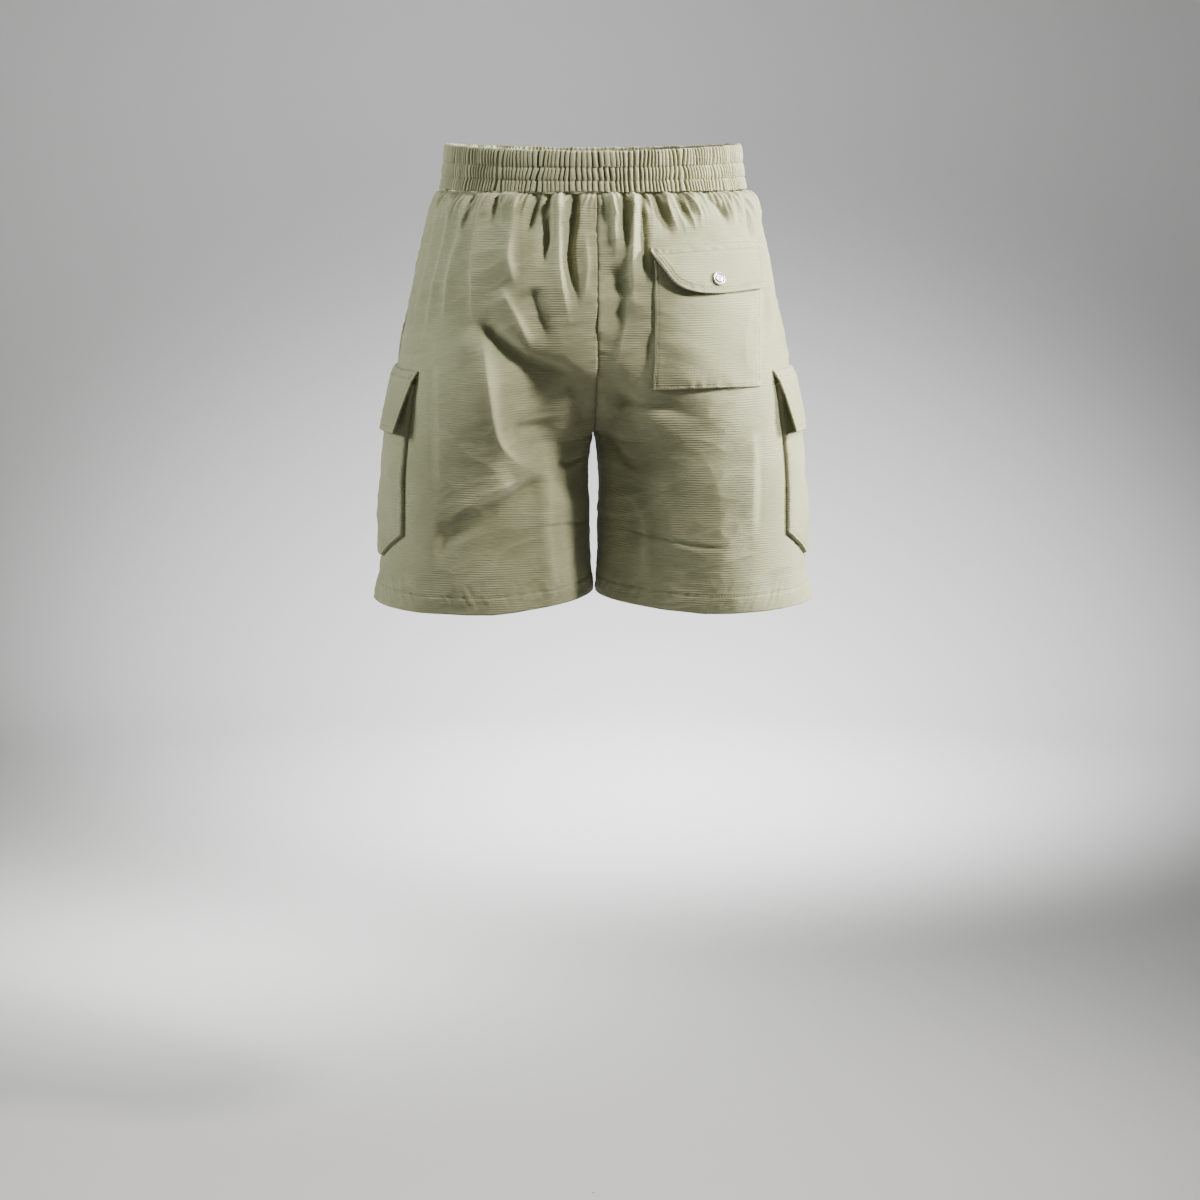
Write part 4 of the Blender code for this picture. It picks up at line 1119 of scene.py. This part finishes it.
def cloth_material():
    """Olive khaki poplin: faint cross rib and slubs, uneven dye, painted shade in hollows with paler
    crests, and a slight sheen.
    """
    material = bpy.data.materials.new("khaki_poplin")
    material.use_nodes = True
    nodes, links = material.node_tree.nodes, material.node_tree.links
    shader = nodes["Principled BSDF"]
    set_inputs(shader, {"Specular IOR Level": 0.28, "Sheen Weight": 0.22, "Sheen Roughness": 0.45})
    set_inputs(shader, {"Sheen Tint": (0.96, 0.95, 0.92, 1.0)})
    where = nodes.new("ShaderNodeUVMap")
    where.uv_map = "cloth"

    def texture(kind, scale, detail):
        stretch = nodes.new("ShaderNodeMapping")
        set_inputs(stretch, {"Scale": scale})
        links.new(where.outputs["UV"], stretch.inputs["Vector"])
        made = nodes.new(kind)
        set_inputs(made, {"Scale": 1.0, "Detail": detail})
        links.new(stretch.outputs["Vector"], made.inputs["Vector"])
        return made

    def reckon(operation, value, factor, plus=None, clamp=False):
        """A maths node: a value times a factor, with a number or another value added."""
        made = nodes.new("ShaderNodeMath")
        made.operation = operation
        made.use_clamp = clamp
        for index, source in enumerate((value, factor, plus)):
            if isinstance(source, float):
                made.inputs[index].default_value = source
            elif source is not None:
                links.new(source, made.inputs[index])
        return made.outputs["Value"]

    slub = texture("ShaderNodeTexNoise", (110.0, 620.0, 1.0), 3.0).outputs["Fac"]
    warp = texture("ShaderNodeTexNoise", (900.0, 60.0, 1.0), 2.0).outputs["Fac"]
    dye = texture("ShaderNodeTexNoise", (13.0, 13.0, 1.0), 4.0).outputs["Fac"]
    ribs = texture("ShaderNodeTexWave", (18.0, 132.0, 1.0), 2.0)
    ribs.wave_type = "BANDS"
    ribs.bands_direction = "Y"
    set_inputs(ribs, {"Distortion": 2.4, "Detail Scale": 1.0})
    patches = texture("ShaderNodeTexNoise", (26.0, 26.0, 1.0), 2.0).outputs["Fac"]
    shown = nodes.new("ShaderNodeMapRange")
    set_inputs(shown, {"From Min": 0.40, "From Max": 0.64})
    links.new(patches, shown.inputs["Value"])
    rib = reckon("MULTIPLY", ribs.outputs["Fac"], shown.outputs["Result"])

    mixed = nodes.new("ShaderNodeMix")
    mixed.data_type = "RGBA"
    mixed.inputs["A"].default_value = (0.128, 0.142, 0.066, 1.0)
    mixed.inputs["B"].default_value = (0.392, 0.380, 0.232, 1.0)
    share = reckon("MULTIPLY_ADD", slub, 0.36, 0.03)
    share = reckon("MULTIPLY_ADD", dye, 0.50, share)
    share = reckon("MULTIPLY_ADD", rib, 0.12, share)
    # painted shade: the colour goes towards the dark olive in hollows and grooves, and towards the pale
    # tone on crests, partly rub wear and partly painted highlight
    worn_and_shaded = nodes.new("ShaderNodeAttribute")
    worn_and_shaded.attribute_name = "wear_and_shade"
    share = reckon("MULTIPLY_ADD", worn_and_shaded.outputs["Fac"], 0.15, share, clamp=True)
    links.new(share, mixed.inputs["Factor"])
    links.new(mixed.outputs["Result"], shader.inputs["Base Color"])
    rough = nodes.new("ShaderNodeMapRange")
    set_inputs(rough, {"To Min": 0.74, "To Max": 0.90})
    links.new(warp, rough.inputs["Value"])
    links.new(rough.outputs["Result"], shader.inputs["Roughness"])
    normal = None
    for value, strength, distance in ((slub, 0.60, 0.0006), (warp, 0.25, 0.0003), (rib, 0.60, 0.0005)):
        bump = nodes.new("ShaderNodeBump")
        set_inputs(bump, {"Strength": strength, "Distance": distance})
        links.new(value, bump.inputs["Height"])
        if normal is not None:
            links.new(normal, bump.inputs["Normal"])
        normal = bump.outputs["Normal"]
    links.new(normal, shader.inputs["Normal"])
    return material


def snap_material():
    """Brushed silver metal with fine scratches."""
    material = plain_material("snap_steel", (0.50, 0.50, 0.50, 1.0), 0.28, 1.0)
    nodes, links = material.node_tree.nodes, material.node_tree.links
    shader = nodes["Principled BSDF"]
    where = nodes.new("ShaderNodeTexCoord")
    scratches = nodes.new("ShaderNodeTexNoise")
    set_inputs(scratches, {"Scale": 900.0})
    links.new(where.outputs["Object"], scratches.inputs["Vector"])
    rough = nodes.new("ShaderNodeMapRange")
    set_inputs(rough, {"To Min": 0.20, "To Max": 0.42})
    links.new(scratches.outputs["Fac"], rough.inputs["Value"])
    links.new(rough.outputs["Result"], shader.inputs["Roughness"])
    return material


def plain_material(name, colour, roughness, metallic=0.0):
    """A material of one colour."""
    material = bpy.data.materials.new(name)
    material.use_nodes = True
    shader = material.node_tree.nodes["Principled BSDF"]
    set_inputs(shader, {"Base Color": colour, "Roughness": roughness, "Metallic": metallic})
    return material


# ---------------------------------------------------------------- stage, lights and camera
def build_stage():
    """A pale round studio: floor and wall in one bent sheet, so that every view has a backdrop."""
    reach, bend, height, floor_z = 3.6, 1.2, 4.0, -1.08
    profile = [(0.001, floor_z), (reach - bend, floor_z)]
    for step in range(1, 17):
        a = math.pi / 2 * step / 16
        profile.append((reach - bend + bend * math.sin(a), floor_z + bend * (1 - math.cos(a))))
    profile.append((reach, floor_z + height))
    segments = 96
    points = []
    for radius, z in profile:
        for k in range(segments):
            turn = 2 * math.pi * k / segments
            points.append((radius * math.cos(turn), radius * math.sin(turn), z))
    faces = grid_faces(len(profile), segments, wrap=True).tolist()
    sweep = placed("sweep", smooth_mesh("sweep", points, faces))
    sweep.data.materials.append(plain_material("sweep_paper", (0.40, 0.40, 0.395, 1.0), 0.9))


def area_light(name, place, aim, size, power, colour, spread):
    """A round lamp that the camera does not see, aimed at a point."""
    data = bpy.data.lights.new(name, "AREA")
    data.spread = math.radians(spread)
    data.shape = "DISK"
    data.size = size
    data.energy = power
    data.color = colour
    light = placed(name, data)
    light.location = place
    light.rotation_mode = "QUATERNION"
    light.visible_camera = False
    light.rotation_quaternion = (Vector(aim) - Vector(place)).to_track_quat("-Z", "Y")


def build_lights():
    """Hard light from the left, weak fill, and lamps that shade the floor and wall."""
    middle = (0.0, 0.0, -0.2)
    area_light("key", (-1.60, 0.95, 1.15), middle, 0.28, 18.0, (1.0, 0.975, 0.925), 75)
    area_light("side", (-2.30, 0.05, 0.50), middle, 0.60, 35.0, (1.0, 0.98, 0.94), 62)
    area_light("fill", (2.30, 0.30, 0.60), middle, 0.80, 11.0, (0.96, 1.0, 0.985), 75)
    area_light("soft", (0.6, 2.90, 1.40), middle, 1.50, 2.0, (0.98, 1.0, 0.985), 90)
    area_light("front", (-0.8, -2.60, 1.00), middle, 1.20, 7.0, (1.0, 0.99, 0.96), 90)
    area_light("pool", (0.5, -0.80, -0.40), (0.35, -1.25, -1.08), 0.5, 14.0, (0.98, 0.99, 1.0), 150)
    area_light("floor", (-0.2, -0.60, 0.60), (-0.2, -2.20, -1.0), 0.6, 50.0, (0.98, 0.99, 1.0), 60)
    area_light("wash", (0.6, -1.0, 0.4), (0.1, -3.4, 0.2), 0.5, 21.0, (0.98, 0.99, 1.0), 100)
    area_light("far_wash", (0.0, 1.30, 0.9), (0.0, 3.6, 0.4), 0.5, 9.0, (0.98, 0.99, 1.0), 130)
    world = bpy.data.worlds.new("studio")
    world.use_nodes = True
    background = world.node_tree.nodes["Background"]
    set_inputs(background, {"Color": (0.80, 0.82, 0.84, 1.0), "Strength": 0.025})
    bpy.context.scene.world = world


def build_camera():
    """Behind the wearer, a little to their left, 2.9 m away and just above the waist."""
    distance, azimuth, height = 2.9, math.radians(178), 0.065
    aim = Vector((-0.007, 0.0, -0.440))
    place = Vector((distance * math.sin(azimuth), -distance * math.cos(azimuth), height))
    data = bpy.data.cameras.new("camera")
    data.sensor_width = 36.0
    data.lens = 86.1
    camera = placed("camera", data)
    camera.location = place
    camera.rotation_mode = "QUATERNION"
    camera.rotation_quaternion = (aim - place).to_track_quat("-Z", "Y")
    bpy.context.scene.camera = camera


# ---------------------------------------------------------------- everything
def main():
    """Every piece of the shorts, with the stage round them."""
    build_camera()
    build_lights()
    build_stage()
    cloth = cloth_material()
    made = []
    panels = {}
    for side, side_name in ((1, "left"), (-1, "right")):
        for facing, facing_name, columns in (
            (1, "back", BACK_PANEL_COLUMNS),
            (-1, "front", FRONT_PANEL_COLUMNS),
        ):
            name = f"{facing_name}_{side_name}"
            panels[name] = Panel(side, facing, columns)
            thing = build_panel(panels[name], name)
            made.append(thing)
    band, band_rows = finish_waistband()
    made.append(band)
    lines = band_stitch_lines(band_rows)
    for panel in panels.values():
        row = float(panel.row_at(HEM_Z + HEM_HEIGHT - HEM_STITCH_DROP))
        over = np.linspace(1, len(panel.shares) - 2, 400)
        lines.append(stitch_line(panel.outer, row, over, panel.side))
    left, right = panels["back_left"], panels["back_right"]
    down = np.linspace(3, float(left.row_at(CENTRE_STITCH_END)), 300)
    seam_z = np.interp(down, np.arange(len(left.levels)), left.levels)
    seam_column = left.column_at_x(np.full(300, CENTRE_STITCH_X), seam_z)
    lines.append(stitch_line(left.outer, down, seam_column, 1))

    grid, inner, out, uv = back_pocket_grid(right)
    pocket = patch_object("back_pocket", grid, inner, out, uv, True)
    lines += patch_stitch_lines(grid, -1, BACK_POCKET_INSET, BACK_POCKET_INSET)
    grid, inner, out, uv = back_flap_grid(right)
    flap = patch_object("back_pocket_flap", grid, inner, out, uv, True)
    lines += back_flap_stitch_lines(grid)
    build_snap(grid)
    made += [pocket, flap]
    for side, side_name, lift in ((1, "left", 0.0070), (-1, "right", 0.0050)):
        back, front = panels[f"back_{side_name}"], panels[f"front_{side_name}"]
        grid, inner, out, uv = cargo_pocket_grid(back, front, 320 + side)
        piece = patch_object(f"cargo_pocket_{side_name}", grid, inner, out, uv, side < 0)
        lines += patch_stitch_lines(grid, side, CARGO_POCKET_INSET, CARGO_POCKET_INSET)
        made.append(piece)
        grid, inner, out, uv = cargo_flap_grid(back, front, 330 + side, lift)
        piece = patch_object(f"cargo_flap_{side_name}", grid, inner, out, uv, side < 0)
        lines += patch_stitch_lines(
            grid, side, CARGO_FLAP_INSET_COLUMNS, CARGO_FLAP_INSET_ROWS, CARGO_FLAP_TOP_GRID_ROWS
        )
        made.append(piece)
    build_stitching(lines)
    for thing in made:
        thing.data.materials.append(cloth)


main()
